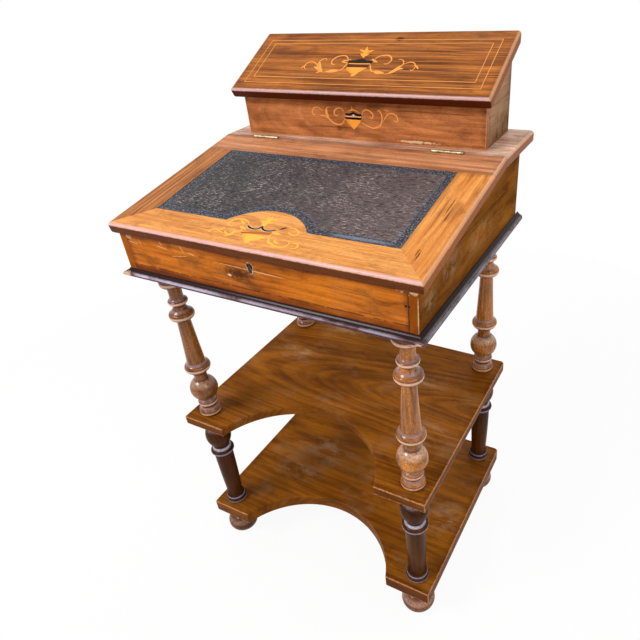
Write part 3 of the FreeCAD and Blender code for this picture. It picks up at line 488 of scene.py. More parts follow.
front = {"light": paint(220, 126, 32), "deep": paint(142, 70, 14), "vein": paint(58, 24, 8)}
olive = {"light": paint(150, 92, 34), "deep": paint(84, 48, 14), "vein": paint(36, 16, 6),
         "rings": 0.05, "fibre": 0.15, "broad": 0.2, "clouds": 0.6, "soft": 0.3,
         "gloss": 0.0, "coat": 0.0, "wear": 0.0}
shelf = {"light": paint(160, 96, 24), "deep": paint(96, 52, 10), "vein": paint(54, 26, 6),
         "fibre": 0.2, "broad": 0.2, "clouds": 0.5, "soft": 0.26,
         "veins": 0.2, "wear": 0.6, "bloom": 0.16, "gloss": 0.02}
inside = {"light": paint(168, 116, 72), "deep": paint(132, 86, 50), "vein": paint(92, 56, 30),
          "shine": 0.55, "coat": 0.0, "bloom": 0.25}

boards = {
    "box_front": {
        **front, "grain": sideways, "face": forward, "seed": 1.3,
        "score": (0.6818, 0.8), "shade": 0.5, "dirtShade": 0.6, "wear": 0.0,
        "marks": [
            ("scuff", (-0.238, frontFace, 0.733), (0.010, 0.01, 0.010), 2.4),
            ("chip", (-0.217, frontFace, 0.739), (0.010, 0.01, 0.003), 2.2, (0.0, 0.9, 0.0)),
            ("scratch", (-0.229, frontFace, 0.720), (0.016, 0.01, 0.0008), 1.4, (0.0, 0.1, 0.0)),
            ("scratch", (-0.214, frontFace, 0.722), (0.008, 0.01, 0.0007), 1.2, (0.0, 1.1, 0.0)),
            ("scratch", (-0.169, frontFace, 0.729), (0.010, 0.01, 0.0007), 1.2, (0.0, 1.1, 0.0)),
            ("scratch", (-0.168, frontFace, 0.721), (0.016, 0.01, 0.0007), 1.4, (0.0, 0.15, 0.0)),
            ("scratch", (-0.134, frontFace, 0.7124), (0.022, 0.01, 0.0008), 1.4, (0.0, -0.16, 0.0)),
            ("scratch", (-0.126, frontFace, 0.725), (0.012, 0.01, 0.0007), 1.2, (0.0, 1.0, 0.0)),
            ("scratch", (-0.108, frontFace, 0.720), (0.009, 0.01, 0.0010), 1.2, (0.0, 0.2, 0.0)),
            ("scratch", (-0.087, frontFace, 0.7375), (0.0018, 0.01, 0.0016), 0.8),
            ("split", (0.001, frontFace, 0.7138), (0.068, 0.01, 0.0009), 0.7, (0.0, 0.026, 0.0)),
            ("knot", (-0.022, frontFace, 0.7035), (0.042, 0.01, 0.018), 1.3),
            ("scuff", (0.232, frontFace, 0.7345), (0.012, 0.01, 0.006), 2.8),
            ("knot", (0.090, frontFace, 0.7360), (0.050, 0.01, 0.010), 1.0),
            ("chip", (-0.041, frontFace, 0.6990), (0.004, 0.01, 0.0025), 1.2),
            ("chip", (0.226, frontFace, 0.7350), (0.006, 0.01, 0.0035), 2.4),
            ("dirt", (-0.2420, frontFace, 0.700), (0.0010, 0.01, 0.050), 0.5),
            ("dirt", (0.2418, frontFace, 0.700), (0.0013, 0.01, 0.050), 0.5),
            ("nail", (0.2385, frontFace, 0.7098), (0.0020, 0.01, 0.0020), 0.4),
        ],
    },
    "box_side_left": {
        **olive, "grain": inward, "face": (-1, 0, 0), "seed": 2.1, "bloom": 0.06, "fore": front,
    },
    "box_side_right": {
        **olive, "light": paint(166, 103, 40), "deep": paint(98, 57, 18),
        "grain": inward, "face": sideways, "seed": 3.7, "bloom": 0.05, "fore": front,
        "marks": [
            ("bloom", (sideFace, 0.010, 0.712), (0.01, 0.080, 0.030), 0.6),
            ("bloom", (sideFace, -0.110, 0.715), (0.01, 0.060, 0.030), 0.6),
            ("bloom", (sideFace, -0.182, 0.703), (0.01, 0.030, 0.030), 0.6),
            ("dirt", (0.2422, frontFace, 0.700), (0.0010, 0.01, 0.050), 0.5),
            ("scratch", (sideFace, frontFace, 0.698), (0.0012, 0.002, 0.036), 1.2),
            ("scuff", (0.2490, frontFace, 0.7330), (0.0080, 0.004, 0.0080), 2.8),
            ("chip", (0.2500, frontFace, 0.7330), (0.0060, 0.006, 0.0060), 2.6),
            ("nail", (0.2430, frontFace, 0.7098), (0.0018, 0.01, 0.0018), 0.4),
        ],
    },
    "box_back": {**olive, "grain": sideways, "face": inward, "seed": 4.9, "bloom": 0.30},
    "box_bottom": {**inside, "grain": sideways, "face": upright, "seed": 5.3},
    "fixed_top_strip": {
        "light": paint(246, 208, 184), "deep": paint(166, 112, 82), "soft": 0.16, "lines": 0.3,
        "grain": sideways, "face": upright, "seed": 6.1, "slab": "strip",
        "marks": [("bloom", (0.232, 0.120, 0.8035), (0.050, 0.080, 0.01), 0.5)],
    },
    "lid_front_rail": {
        "light": paint(244, 174, 98), "deep": paint(206, 130, 62), "edge": paint(250, 196, 120),
        "vein": paint(140, 70, 28), "veins": 0.35, "veinSize": (0.07, 0.0022, 0.0022),
        "fibre": 0.6, "broad": 0.15, "clouds": 0.2, "soft": 0.16, "dirtShade": 0.12,
        "grain": sideways, "face": lidFace, "seed": 7.7, "slab": "lid",
    },
    "lid_stile_left": {
        "light": paint(198, 128, 70), "deep": paint(136, 78, 36), "lines": 0.7, "soft": 0.16,
        "dirtShade": 0.2, "grain": lidGrain, "face": lidFace, "seed": 8.3, "slab": "lid",
    },
    "lid_stile_right": {
        "light": paint(250, 172, 88), "deep": paint(196, 112, 48), "lines": 0.3, "soft": 0.18,
        "dirtShade": 0.3, "grain": lidGrain, "face": lidFace, "seed": 9.1, "slab": "lid",
        "marks": [
            ("dirt", (0.235, -0.0677, 0.7781), (0.0014, 0.034, 0.01), 1.2),
            ("dirt", (0.240, -0.0877, 0.7746), (0.0010, 0.026, 0.01), 1.2),
            ("dirt", (0.238, -0.1770, 0.7588), (0.0016, 0.013, 0.01), 1.2),
            ("dirt", (0.2345, -0.1710, 0.7599), (0.0012, 0.011, 0.01), 1.2),
        ],
    },
    "lid_back_rail": {
        "light": paint(236, 168, 120), "deep": paint(172, 106, 66),
        "grain": sideways, "face": lidFace, "seed": 10.9, "slab": "lid",
    },
    "lid_panel": {**inside, "grain": sideways, "face": lidFace, "seed": 11.3},
    "stationery_front": {
        "light": paint(222, 142, 84), "deep": paint(150, 86, 46), "ring": 0.006, "wear": 0.5,
        "pith": (0.01, -0.05), "lean": (0.06, 0.22),
        "grain": sideways, "face": forward, "seed": 12.7,
        "marks": [
            ("chip", (0.112, stationeryFace, 0.8085), (0.034, 0.01, 0.0022), 2.6),
            ("stain", (-0.031, stationeryFace, 0.8220), (0.008, 0.01, 0.005), 1.3),
        ],
    },
    "stationery_side_left": {
        **olive, "grain": inward, "face": (-1, 0, 0), "seed": 13.9, "bloom": 0.3,
    },
    "stationery_side_right": {
        **olive, "light": paint(200, 154, 120), "deep": paint(118, 86, 58), "bloom": 0.35,
        "grain": inward, "face": sideways, "seed": 14.3,
        "marks": [
            ("bloom", (stationerySide, 0.160, 0.840), (0.01, 0.050, 0.045), 0.5),
            ("stain", (stationerySide, 0.150, 0.815), (0.01, 0.004, 0.012), 1.6),
            ("stain", (stationerySide, 0.178, 0.817), (0.01, 0.003, 0.014), 1.6),
        ],
    },
    "stationery_back": {**olive, "grain": sideways, "face": inward, "seed": 15.1, "bloom": 0.3},
    "stationery_lid_board": {
        "light": paint(198, 118, 48), "deep": paint(100, 50, 18), "soft": 0.18, "lines": 0.35,
        "veins": 0.8, "veinSize": (0.20, 0.0040, 0.0040),
        "grain": sideways, "face": boxFace, "seed": 16.7, "slab": "boxLid",
        "marks": [("dirt", (0.042, 0.1936, 0.9437), (0.011, 0.006, 0.01), 1.3)],
    },
    "stationery_bottom": {**inside, "grain": sideways, "face": upright, "seed": 17.3},
    "stationery_divider_left": {**inside, "grain": inward, "face": sideways, "seed": 18.1},
    "stationery_divider_right": {**inside, "grain": inward, "face": sideways, "seed": 19.3},
    "middle_shelf": {
        **shelf, "grain": sideways, "face": upright, "seed": 20.9, "flank": middleTop,
        "pith": (0.02, -0.05), "lean": (0.05, 0.16), "rings": 0.16, "ring": 0.007,
        "marks": [
            ("bloom", (-0.169, 0.061, middleTop), (0.090, 0.050, 0.01), 0.6),
            ("bloom", (0.118, 0.069, middleTop), (0.090, 0.050, 0.01), 0.6),
            ("bloom", (-0.105, 0.172, middleTop), (0.090, 0.030, 0.01), 0.6),
            ("bloom", (0.190, -0.060, middleTop), (0.060, 0.060, 0.01), 0.6),
        ],
    },
    "bottom_shelf": {
        **shelf, "grain": sideways, "face": upright, "seed": 21.7, "flank": bottomTop,
        "ring": 0.007,
        "marks": [
            ("bloom", (-0.103, 0.027, bottomTop), (0.100, 0.060, 0.01), 0.6),
            ("bloom", (-0.134, -0.055, bottomTop), (0.080, 0.040, 0.01), 0.6),
            ("bloom", (0.215, -0.038, bottomTop), (0.050, 0.070, 0.01), 0.6),
        ],
    },
}
for name, row in boards.items():
    dress([name], boardFinish(name, row))
print("boards finished:", len(boards))

stand = {                      # the column axes: from the middle to each side and end
    "across": 0.2180,
    "middle": -0.00975,
    "along": 0.16750,
}
turnedWood = {                 # what all turned pieces share
    "rings": 0.10, "fibre": 0.15, "broad": 0.2, "clouds": 0.5, "veins": 0.2, "pores": 0.75,
    "pith": (0.004, 0.003), "lean": (0.02, 0.01), "ring": 0.0035, "wander": 0.010,
    "gloss": 0.04,
    "relief": 0.0004,
    "strands": (0.37, 0.71),   # metres of grain from column to column, across and behind
    # shadeTone: painted shade on the left columns; grooveTone: painted shade in the grooves;
    # lineTone: painted shade in a band beside each rim
    "shadeTone": paint(60, 28, 10),
    "grooveTone": paint(52, 26, 18),
    "lineTone": paint(50, 24, 16),
}
turnedNoise = {"grit": (0.0040, 3.0, 0.7), "specks": ((0.0015, 0.0015, 0.0024), 3.0, 0.7)}
turnedStep = {                 # metres from a ring or level, then values of grit and specks
    "rim": (0.0014, 0.0030),
    "line": (0.0036, 0.0050),
    "groove": (0.0008, 0.0026),
    "hollow": (0.0012, 0.0038),
    "glint": (0.001, 0.009),
    # the next three break the painted highlights and the painted reflection into patches
    "rimPatches": (0.20, 0.52),
    "hollowPatches": (0.15, 0.60),
    "glintPatches": (0.25, 0.60),
    "specks": (0.50, 0.60),
}
# rimTone: painted highlight on the rims; hollowTone: painted reflection in the hollows; glintTone:
# painted highlight round the ball at the glint height
turnings = {                   # rims, hollows and grooves: height and radius of each
    "upper_column_": {
        "light": paint(228, 142, 52), "deep": paint(112, 62, 20), "seed": 31.0, "coat": 0.7,
        "rimTone": paint(246, 200, 174), "hollowTone": paint(150, 126, 128),
        "glintTone": paint(244, 206, 178), "glint": 0.4215,
        "rims": [(0.3500, 0.0205), (0.3715, 0.0180), (0.4545, 0.0235), (0.5680, 0.0222),
                 (0.5950, 0.0170), (0.6335, 0.0222)],
        "hollows": [(0.3605, 0.0160), (0.3792, 0.0148), (0.4650, 0.0182), (0.5785, 0.0152),
                    (0.6003, 0.0138)],
        "grooves": [(0.3650, 0.0150), (0.3810, 0.0132), (0.4275, 0.0130), (0.4440, 0.0150),
                    (0.5605, 0.0120), (0.5890, 0.0125), (0.6250, 0.0125), (0.6430, 0.0150)],
    },
    "lower_column_": {
        "light": paint(104, 58, 12), "deep": paint(28, 10, 2), "seed": 37.0, "coat": 0.08,
        "rimTone": paint(160, 156, 176), "hollowTone": paint(206, 204, 222),
        "glintTone": paint(186, 182, 200), "glint": 0.3060,
        "rims": [(0.0955, 0.0210), (0.1057, 0.0196), (0.2410, 0.0233)],
        "hollows": [(0.2505, 0.0172)],
        "grooves": [(0.1018, 0.0172), (0.1105, 0.0162), (0.2350, 0.0195), (0.2560, 0.0154),
                    (0.3120, 0.0145)],
    },
    "bun_foot_": {
        "light": paint(158, 100, 56), "deep": paint(76, 40, 18), "seed": 41.0, "coat": 0.2,
        "rimTone": paint(206, 164, 138), "glintTone": paint(214, 172, 148), "glint": 0.0340,
        "rims": [(0.0585, 0.0222)],
        "hollows": [],
        "grooves": [(0.0480, 0.0155)],
    },
}


# The four columns of a kind share one finish: their places are folded onto one axis, and
# each takes its own stretch of grain. Rims, hollows and grooves show by the distance from
# the nearest ring of that height and radius: painted shade in the grooves and beside the
# rims, a painted reflection in the hollows and a painted highlight on the rims. A painted
# highlight rings each ball at the glint height, and the left columns get painted shade.
def turnedFinish(kind, row):
    look = {**woodLook, **turnedWood, **row}
    finish = newFinish("turned_" + kind.strip("_"))
    place = finish.place()
    x, y, z = finish.split(place)
    depth = y - stand["middle"]
    side, end = finish.sign(x), finish.sign(depth)
    across, along = abs(x) - stand["across"], abs(depth) - stand["along"]
    strand = z + side * look["strands"][0] + end * look["strands"][1]
    grain = finish.node("CombineXYZ", None, [strand, across, along])
    colour, pores, fibre = figured(finish, grain, look)
    grit = finish.cloud(place, *turnedNoise["grit"])
    specks = finish.ease(finish.cloud(place, *turnedNoise["specks"]), *turnedStep["specks"])
    radius = (across * across + along * along) ** 0.5

    def rings(places, reach):
        gap = 1.0
        for level, size in places:
            rise, out = z - level, radius - size
            gap = finish.least((rise * rise + out * out) ** 0.5, gap)
        return 1 - finish.ease(gap + (grit - 0.5) * 0.0012, *turnedStep[reach])

    colour = finish.blend(specks * 0.55, colour, look["vein"])
    # painted highlight round the ball
    glint = 1 - finish.ease(abs(z - look["glint"]), *turnedStep["glint"])
    glint = glint * finish.ease(grit, *turnedStep["glintPatches"])
    colour = finish.blend(glint * 0.55, colour, look["glintTone"])
    # painted shade on the left columns
    colour = finish.blend((1 - side) * 0.2, colour, look["shadeTone"])
    # painted shade in the grooves
    colour = finish.blend(rings(look["grooves"], "groove") * 0.7, colour, look["grooveTone"])
    # painted reflection in the hollows
    if look["hollows"]:
        paintedSheen = rings(look["hollows"], "hollow") * finish.ease(grit, *turnedStep["hollowPatches"])
        colour = finish.blend(paintedSheen * 0.8, colour, look["hollowTone"])
    # painted shade beside the rims, then a painted highlight on them
    rims = rings(look["rims"], "rim")
    colour = finish.blend((rings(look["rims"], "line") - rims) * 0.45, colour, look["lineTone"])
    paintedSheen = rims * finish.ease(grit, *turnedStep["rimPatches"])
    colour = finish.blend(paintedSheen * 0.75, colour, look["rimTone"])
    rough = 0.28 + pores * 0.25 + rims * 0.05
    height = fibre * 0.25 - pores * 0.7 - specks * 0.4
    fixed = {"Coat Weight": look["coat"], "Coat Roughness": 0.12, "IOR": 1.45,
             "Specular IOR Level": look["gloss"]}
    return finish.surface(colour, rough, height, look["relief"], fixed)


for kind, row in turnings.items():
    dress([name for name in nodes if name.startswith(kind)], turnedFinish(kind, row))
print("turned pieces finished")

moulding = {                   # heights and front face, worn corners, colours
    "base": 0.6598,
    "bead": 0.6668,
    "front": -0.21675,
    "corners": [((0.2580, -0.2262, 0.6625), (0.0060, 0.0045, 0.0028), 2.0),
                ((-0.2580, -0.2240, 0.6640), (0.0110, 0.0080, 0.0040), 2.0)],
    "tone": paint(70, 40, 44),
    "sideTone": paint(44, 34, 22),
    "fleckTone": paint(120, 108, 84),
    "darkTone": paint(34, 18, 20),
    # coveTone: painted shade in the cove; crownTone: painted highlight on the bead's crown
    "coveTone": paint(30, 8, 6),
    "crownTone": paint(206, 196, 216),
    "bareTone": paint(222, 180, 142),
}
mouldingNoise = {
    "grit": (0.0035, 3.0, 0.7),
    "soft": (0.05, 3.0, 0.6),
    "flecks": ((0.004, 0.010, 0.003), 3.0, 0.7),
    "chips": (0.012, 3.0, 0.7),
}
mouldingStep = {
    "cove": (-0.0006, 0.0008),     # metres above the bead
    "side": (-0.0005, 0.0005),     # behind the front face
    "crown": (0.0036, 0.0050),     # above the base
    "lip": (0.0004, 0.0022),
    "shone": (0.15, -0.20),        # metres to the right
    "flecks": (0.50, 0.60),        # values of the noises
    "dark": (0.4, 0.8),
    "crownPatches": (0.30, 0.60),
    "chips": (0.46, 0.54),
}


# Dark bead and cove: painted shade darkens the cove, which starts above the bead, a painted
# highlight on the bead's crown shines most at the left, and bare wood shows where the lower
# edge and the front corners are chipped.
def mouldingFinish():
    look, step = moulding, mouldingStep
    finish = newFinish("ebonised_moulding")
    place = finish.place()
    x, y, z = finish.split(place)
    grit, soft, flecks, chips = [finish.cloud(place, *row) for row in mouldingNoise.values()]
    cove = finish.ease(z - look["bead"] + (grit - 0.5) * 0.0012, *step["cove"])
    side = finish.ease(y - look["front"], *step["side"])
    flecked = finish.ease(flecks, *step["flecks"]) * 0.7
    flank = finish.blend(flecked, look["sideTone"], look["fleckTone"])
    bead = finish.blend(side, look["tone"], flank)
    colour = finish.blend(finish.ease(soft, *step["dark"]), bead, look["darkTone"])
    # painted shade in the cove
    colour = finish.blend(cove * 0.95, colour, look["coveTone"])
    rise = z - look["base"]
    # painted highlight on the bead's crown, strongest at the left
    crown = finish.ease(rise, *step["crown"]) * (1 - cove) * finish.ease(soft, *step["crownPatches"])
    shone = finish.ease(x + (soft - 0.5) * 0.2, *step["shone"]) * (1 - side)
    colour = finish.blend(crown * (shone * 0.45 + 0.4), colour, look["crownTone"])
    bare = (1 - finish.ease(rise, *step["lip"])) * finish.ease(chips, *step["chips"])
    for corner in look["corners"]:
        bare = finish.most(bare, spot(finish, place, grit, *corner))
    colour = finish.blend(bare * 0.8, colour, look["bareTone"])
    rough = 0.24 + soft * 0.12 + bare * 0.4
    fixed = {"Coat Weight": 0.20, "Coat Roughness": 0.16, "IOR": 1.45, "Specular IOR Level": 0.04}
    return finish.surface(colour, rough, grit * 0.4, 0.0003, fixed)


leather = {                    # outline and band in the lid's frame, wear, colours
    "half": 0.2110,
    "front": 0.0565,
    "back": 0.25185,
    "arcMiddle": 0.00898,
    "arcRadius": 0.08502,
    "band": 0.0135,
    "innerLine": 0.0030,
    "scratch": ((-0.087, 0.138, 0.0), (0.022, 0.0008, 0.01), 0.8, (0.0, 0.0, 0.5)),
    # streak: a painted sheen on the band at the right front
    "streak": ((0.150, 0.0632, 0.0), (0.055, 0.0035, 0.01), 1.0),
    "cool": paint(62, 60, 62),
    "warm": paint(100, 86, 84),
    "darkTone": paint(26, 20, 24),
    "fibreTone": paint(222, 208, 204),
    "scratchTone": paint(190, 178, 168),
    "bandTone": paint(36, 39, 46),
    "speckTone": paint(150, 156, 168),
    "lineTone": paint(104, 118, 136),
    "sheenTone": paint(128, 138, 152),
}
leatherNoise = {
    "grit": ((0.0080, 0.0012, 0.002), 4.0, 0.75),
    "patches": (0.06, 3.0, 0.6),
    "dark": ((0.0120, 0.0020, 0.002), 3.0, 0.7),
    "rag": (0.006, 3.0, 0.7),
    "specks": (0.0026, 2.0, 0.6),
}
leatherStep = {
    "warm": (-0.16, 0.20),         # metres to the right
    "band": (-0.0030, 0.0010),     # from the band's inner side
    "line": (0.0004, 0.0010),      # from a tooled line
    "inner": (0.0004, 0.0009),
    "fibres": (0.54, 0.66),        # values of the noises
    "dark": (0.46, 0.62),
    "rubbed": (0.36, 0.66),
    "specks": (0.50, 0.66),
    "lineWorn": (-0.06, 0.10),
}


# Field with pale rubbed fibres inside a darker band with tooled lines: the band follows
# the distance from the leather's edge, arc included. A painted sheen lies on the band at the
# right front as a pale bluish streak.
def leatherFinish():
    look, step = leather, leatherStep
    finish = newFinish("writing_leather")
    flat = finish.local(finish.place(), slabs["lid"]["place"], (lidSlope, 0.0, 0.0))
    x, s = finish.split(flat)[:2]
    grit, patches, dark, rag, specks = [finish.cloud(flat, *row) for row in leatherNoise.values()]
    rise = s - look["arcMiddle"]
    edge = finish.least(look["half"] - abs(x), finish.least(s - look["front"], look["back"] - s))
    edge = finish.least(edge, (x * x + rise * rise) ** 0.5 - look["arcRadius"])
    warm = finish.ease(x + (patches - 0.5) * 0.2, *step["warm"])
    colour = finish.blend(warm, look["cool"], look["warm"])
    colour = finish.blend(finish.ease(dark, *step["dark"]) * 0.8, colour, look["darkTone"])
    fibres = finish.ease(grit, *step["fibres"])
    rubbed = finish.ease(patches, *step["rubbed"]) * 0.7 + 0.25
    colour = finish.blend(fibres * rubbed, colour, look["fibreTone"])
    scratch = spot(finish, flat, grit, *look["scratch"])
    colour = finish.blend(scratch * 0.6, colour, look["scratchTone"])
    rag = rag - 0.5
    band = 1 - finish.ease(edge - look["band"] + rag * 0.008, *step["band"])
    colour = finish.blend(band * 0.85, colour, look["bandTone"])
    speck = finish.ease(specks, *step["specks"])
    colour = finish.blend(speck * band * 0.6, colour, look["speckTone"])
    line = 1 - finish.ease(abs(edge - look["band"]), *step["line"])
    inner = 1 - finish.ease(abs(edge - look["innerLine"]), *step["inner"])
    lines = finish.most(line, inner)
    tooled = lines * finish.ease(rag, *step["lineWorn"])
    colour = finish.blend(tooled * 0.6, colour, look["lineTone"])
    # painted sheen: a pale bluish streak on the band
    streak = spot(finish, flat, grit, *look["streak"])
    colour = finish.blend(streak * 0.6, colour, look["sheenTone"])
    rough = 0.55 + fibres * 0.2 - band * 0.12
    height = grit * 0.5 - lines * 0.8
    fixed = {"IOR": 1.45, "Specular IOR Level": 0.12}
    return finish.surface(colour, rough, height, 0.0004, fixed)


metals = {                     # light and dull tone, roughness
    "brass": (paint(184, 168, 132), paint(112, 94, 60), 0.36),
    "steel": (paint(196, 190, 180), paint(120, 112, 104), 0.38),
}
waxed = {"Coat Weight": 0.05, "Coat Roughness": 0.18, "Specular IOR Level": 0.08}


# Tarnish comes and goes in soft patches, with fine drawn scratches in the relief.
def metalFinish(name):
    light, dull, rough = metals[name]
    finish = newFinish(name)
    place = finish.place()
    soft = finish.cloud(place, 0.006, 3.0, 0.65)
    grit = finish.cloud(place, (0.004, 0.0006, 0.0006), 3.0, 0.6)
    colour = finish.blend(finish.ease(soft, 0.40, 0.65), light, dull)
    return finish.surface(colour, rough + soft * 0.2, grit, 0.00008, {"Metallic": 1.0})


# Pale wood with fine streaks along the lines.
def boxwoodFinish(name, light, dark):
    finish = newFinish(name)
    place = finish.place()
    streak = finish.cloud(place, (0.02, 0.0012, 0.0012), 3.0, 0.6)
    soft = finish.cloud(place, 0.012, 2.0)
    colour = finish.blend(streak * 0.5 + soft * 0.6, dark, light)
    return finish.surface(colour, 0.34 + soft * 0.1, streak, 0.0001, waxed)


dress(["moulding_front", "moulding_left", "moulding_right"], mouldingFinish())
dress(["writing_leather"], leatherFinish())
brass, steel = metalFinish("brass"), metalFinish("steel")
dress([name for name in nodes if name.startswith("hinge_")], brass)
dress(["stationery_box_leaves", "stationery_lid_leaves", "stationery_hinge_pins",
       "strip_hinge_screws", "lid_hinge_screws", "stationery_box_screws",
       "stationery_lid_screws"], brass)
dress(["keyhole_escutcheon", "lock_case", "lock_screws", "lock_bolt", "lid_strike_plate",
       "lid_strike_screws"], steel)
lineWood = boxwoodFinish("boxwood_lines", paint(240, 172, 96), paint(206, 130, 62))
dress(["stationery_lid_lines"], lineWood)
print("metal, leather and lines finished")

inlayLook = {                  # woods of the inlay: lighter and darker tone, metres proud
    "gold": (paint(255, 200, 84), paint(222, 148, 48), 0.00010),
    "amber": (paint(255, 176, 84), paint(214, 128, 48), 0.00010),
    "honey": (paint(255, 176, 70), paint(222, 132, 38), 0.00018),
    "rust": (paint(196, 112, 44), paint(150, 78, 28), 0.00018),
    "brown": (paint(96, 44, 18), paint(56, 22, 10), 0.00018),
    "white": (paint(250, 226, 190), paint(216, 180, 130), 0.00026),
    "black": (paint(22, 16, 16), paint(8, 6, 8), 0.00034),
}
inlayBurn = {                  # across a strip, from 0 to 1: where it is clear, and how it sets in
    "clear": 0.4,
    "step": (0.30, 0.60),
    "strength": 0.45,
}
inlayPanels = {                # where an inlay lies: the frame of its board and the body
    "rail": {"place": slabs["lid"]["place"], "slope": lidSlope, "body": "writing_lid"},
    "boxLid": {"place": slabs["boxLid"]["place"], "slope": boxSlope, "body": "stationery_lid"},
    "boxFront": {"place": (0.0, 0.09865, -0.075), "slope": math.radians(90), "body": "desk"},
}
inlaySize = {
    "unit": 0.001,             # points and widths are in millimetres
    "step": 0.00001,           # strips lie at so many heights in turn, a step apart, so that
    "steps": 7,                # crossing ones never share a plane
    "sunk": 0.0002,
    "rounds": 9,               # places worked out from one point to the next
}
swell = {                      # share of the width at the ends, and the power it swells with
    "scroll": (0.35, 0.7),
    "leaf": (0.05, 0.8),
    "bar": (1.0, 1.0),
}


# Smooth path through the given points: between each two, the cubic curve whose slopes at
# its ends are half the way from the point before to the point after.
def smoothPath(points, rounds):
    spots = np.array(points, float)
    slopes = np.gradient(spots, axis=0)
    t = np.linspace(0, 1, rounds, endpoint=False)[None, :, None]
    first, last = spots[:-1, None], spots[1:, None]
    leave, arrive = slopes[:-1, None], slopes[1:, None]
    curve = ((2 * t**3 - 3 * t**2 + 1) * first + (t**3 - 2 * t**2 + t) * leave
             + (3 * t**2 - 2 * t**3) * last + (t**3 - t**2) * arrive)
    return np.vstack([curve.reshape(-1, spots.shape[1]), spots[-1:]])


# Flat strip along a path, in millimetres: each of its points moved half the width to
# both sides, square to the path. The width swells with a power of the sine of the way
# along, and a form has its own width at each point.
def strip(shape, width, points):
    path = smoothPath(points, inlaySize["rounds"])
    spots, share = path[:, :2], np.linspace(0, 1, len(path))
    step = np.gradient(spots, axis=0)
    step /= np.maximum(np.linalg.norm(step, axis=1), 1e-6)[:, None]
    side = np.column_stack([-step[:, 1], step[:, 0]])
    if shape == "form":
        widths = path[:, -1]
    else:
        ends, power = swell[shape]
        bow = np.clip(np.sin(np.pi * share), 0.0, 1.0)
        widths = width * (ends + (1 - ends) * bow ** power)
    half = widths[:, None] / 2
    return spots + side * half, spots - side * half, share


# Closed meshes of strips: a ring of four corners at each point, walls between the rings
# and a cap at each end. The maps run from 0 to 1 along and across.
def inlayMesh(strips, proud):
    corners, faces, maps, count = [], [], [], 0
    across = np.array([[1.0, 0.0, 0.0, 1.0]])
    for order, row in enumerate(strips):
        left, right, share = strip(*row)
        rings = len(left)
        top = np.full(rings, proud + inlaySize["step"] * (order % inlaySize["steps"]))
        low = np.full(rings, -inlaySize["sunk"])
        ring = [np.column_stack([edge * inlaySize["unit"], height]) for edge, height in
                ((left, top), (right, top), (right, low), (left, low))]
        corners.append(np.stack(ring, 1).reshape(-1, 3))
        places = [np.repeat(share[:, None], 4, 1), np.repeat(across, rings, 0)]
        maps.append(np.stack(places, -1).reshape(-1, 2))
        i, k = np.meshgrid(4 * np.arange(rings - 1), np.arange(4), indexing="ij")
        turn = (k + 1) % 4
        walls = np.stack([i + k, i + turn, i + 4 + turn, i + 4 + k], -1).reshape(-1, 4)
        last = 4 * (rings - 1)
        caps = np.array([[3, 2, 1, 0], [last, last + 1, last + 2, last + 3]])
        faces.append(np.vstack([walls, caps]) + count)
        count += 4 * rings
    return np.vstack(corners), np.vstack(faces), np.vstack(maps)


# Fine streaks, and darker where hot sand has burnt the strip's edges.
def inlayFinish(name):
    light, dark = inlayLook[name][:2]
    finish = newFinish("inlay_" + name)
    across = finish.split(finish.node("TexCoord", output="UV"))[1]
    streak = finish.cloud(finish.place(), (0.010, 0.0012, 0.0012), 3.0, 0.6)
    burnt = finish.ease(abs(across - inlayBurn["clear"]), *inlayBurn["step"])
    colour = finish.blend(streak * 0.7 + burnt * inlayBurn["strength"], light, dark)
    return finish.surface(colour, 0.34 + streak * 0.1, streak, 0.0001, waxed)


inlayWoods = {name: inlayFinish(name) for name in inlayLook}


# Strips on a panel, in metres: across stays, up climbs the board's slope, and out is square
# to the board.
def layInlay(panelName, woodName, strips):
    panel = inlayPanels[panelName]
    corners, faces, maps = inlayMesh(strips, inlayLook[woodName][2])
    level, climb = math.cos(panel["slope"]), math.sin(panel["slope"])
    axes = np.array([(1, 0, 0), (0, level, climb), (0, -climb, level)])
    mesh = bpy.data.meshes.new(panelName + "_" + woodName + "_inlay")
    mesh.from_pydata((corners @ axes + np.array(panel["place"])).tolist(), [], faces.tolist())
    order = np.empty(len(mesh.loops), int)
    mesh.loops.foreach_get("vertex_index", order)
    mesh.uv_layers.new(name="along").data.foreach_set("uv", maps[order].ravel())
    mesh.materials.append(inlayWoods[woodName])
    piece = bpy.data.objects.new(mesh.name, mesh)
    bpy.context.scene.collection.objects.link(piece)
    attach(piece, panel["body"])


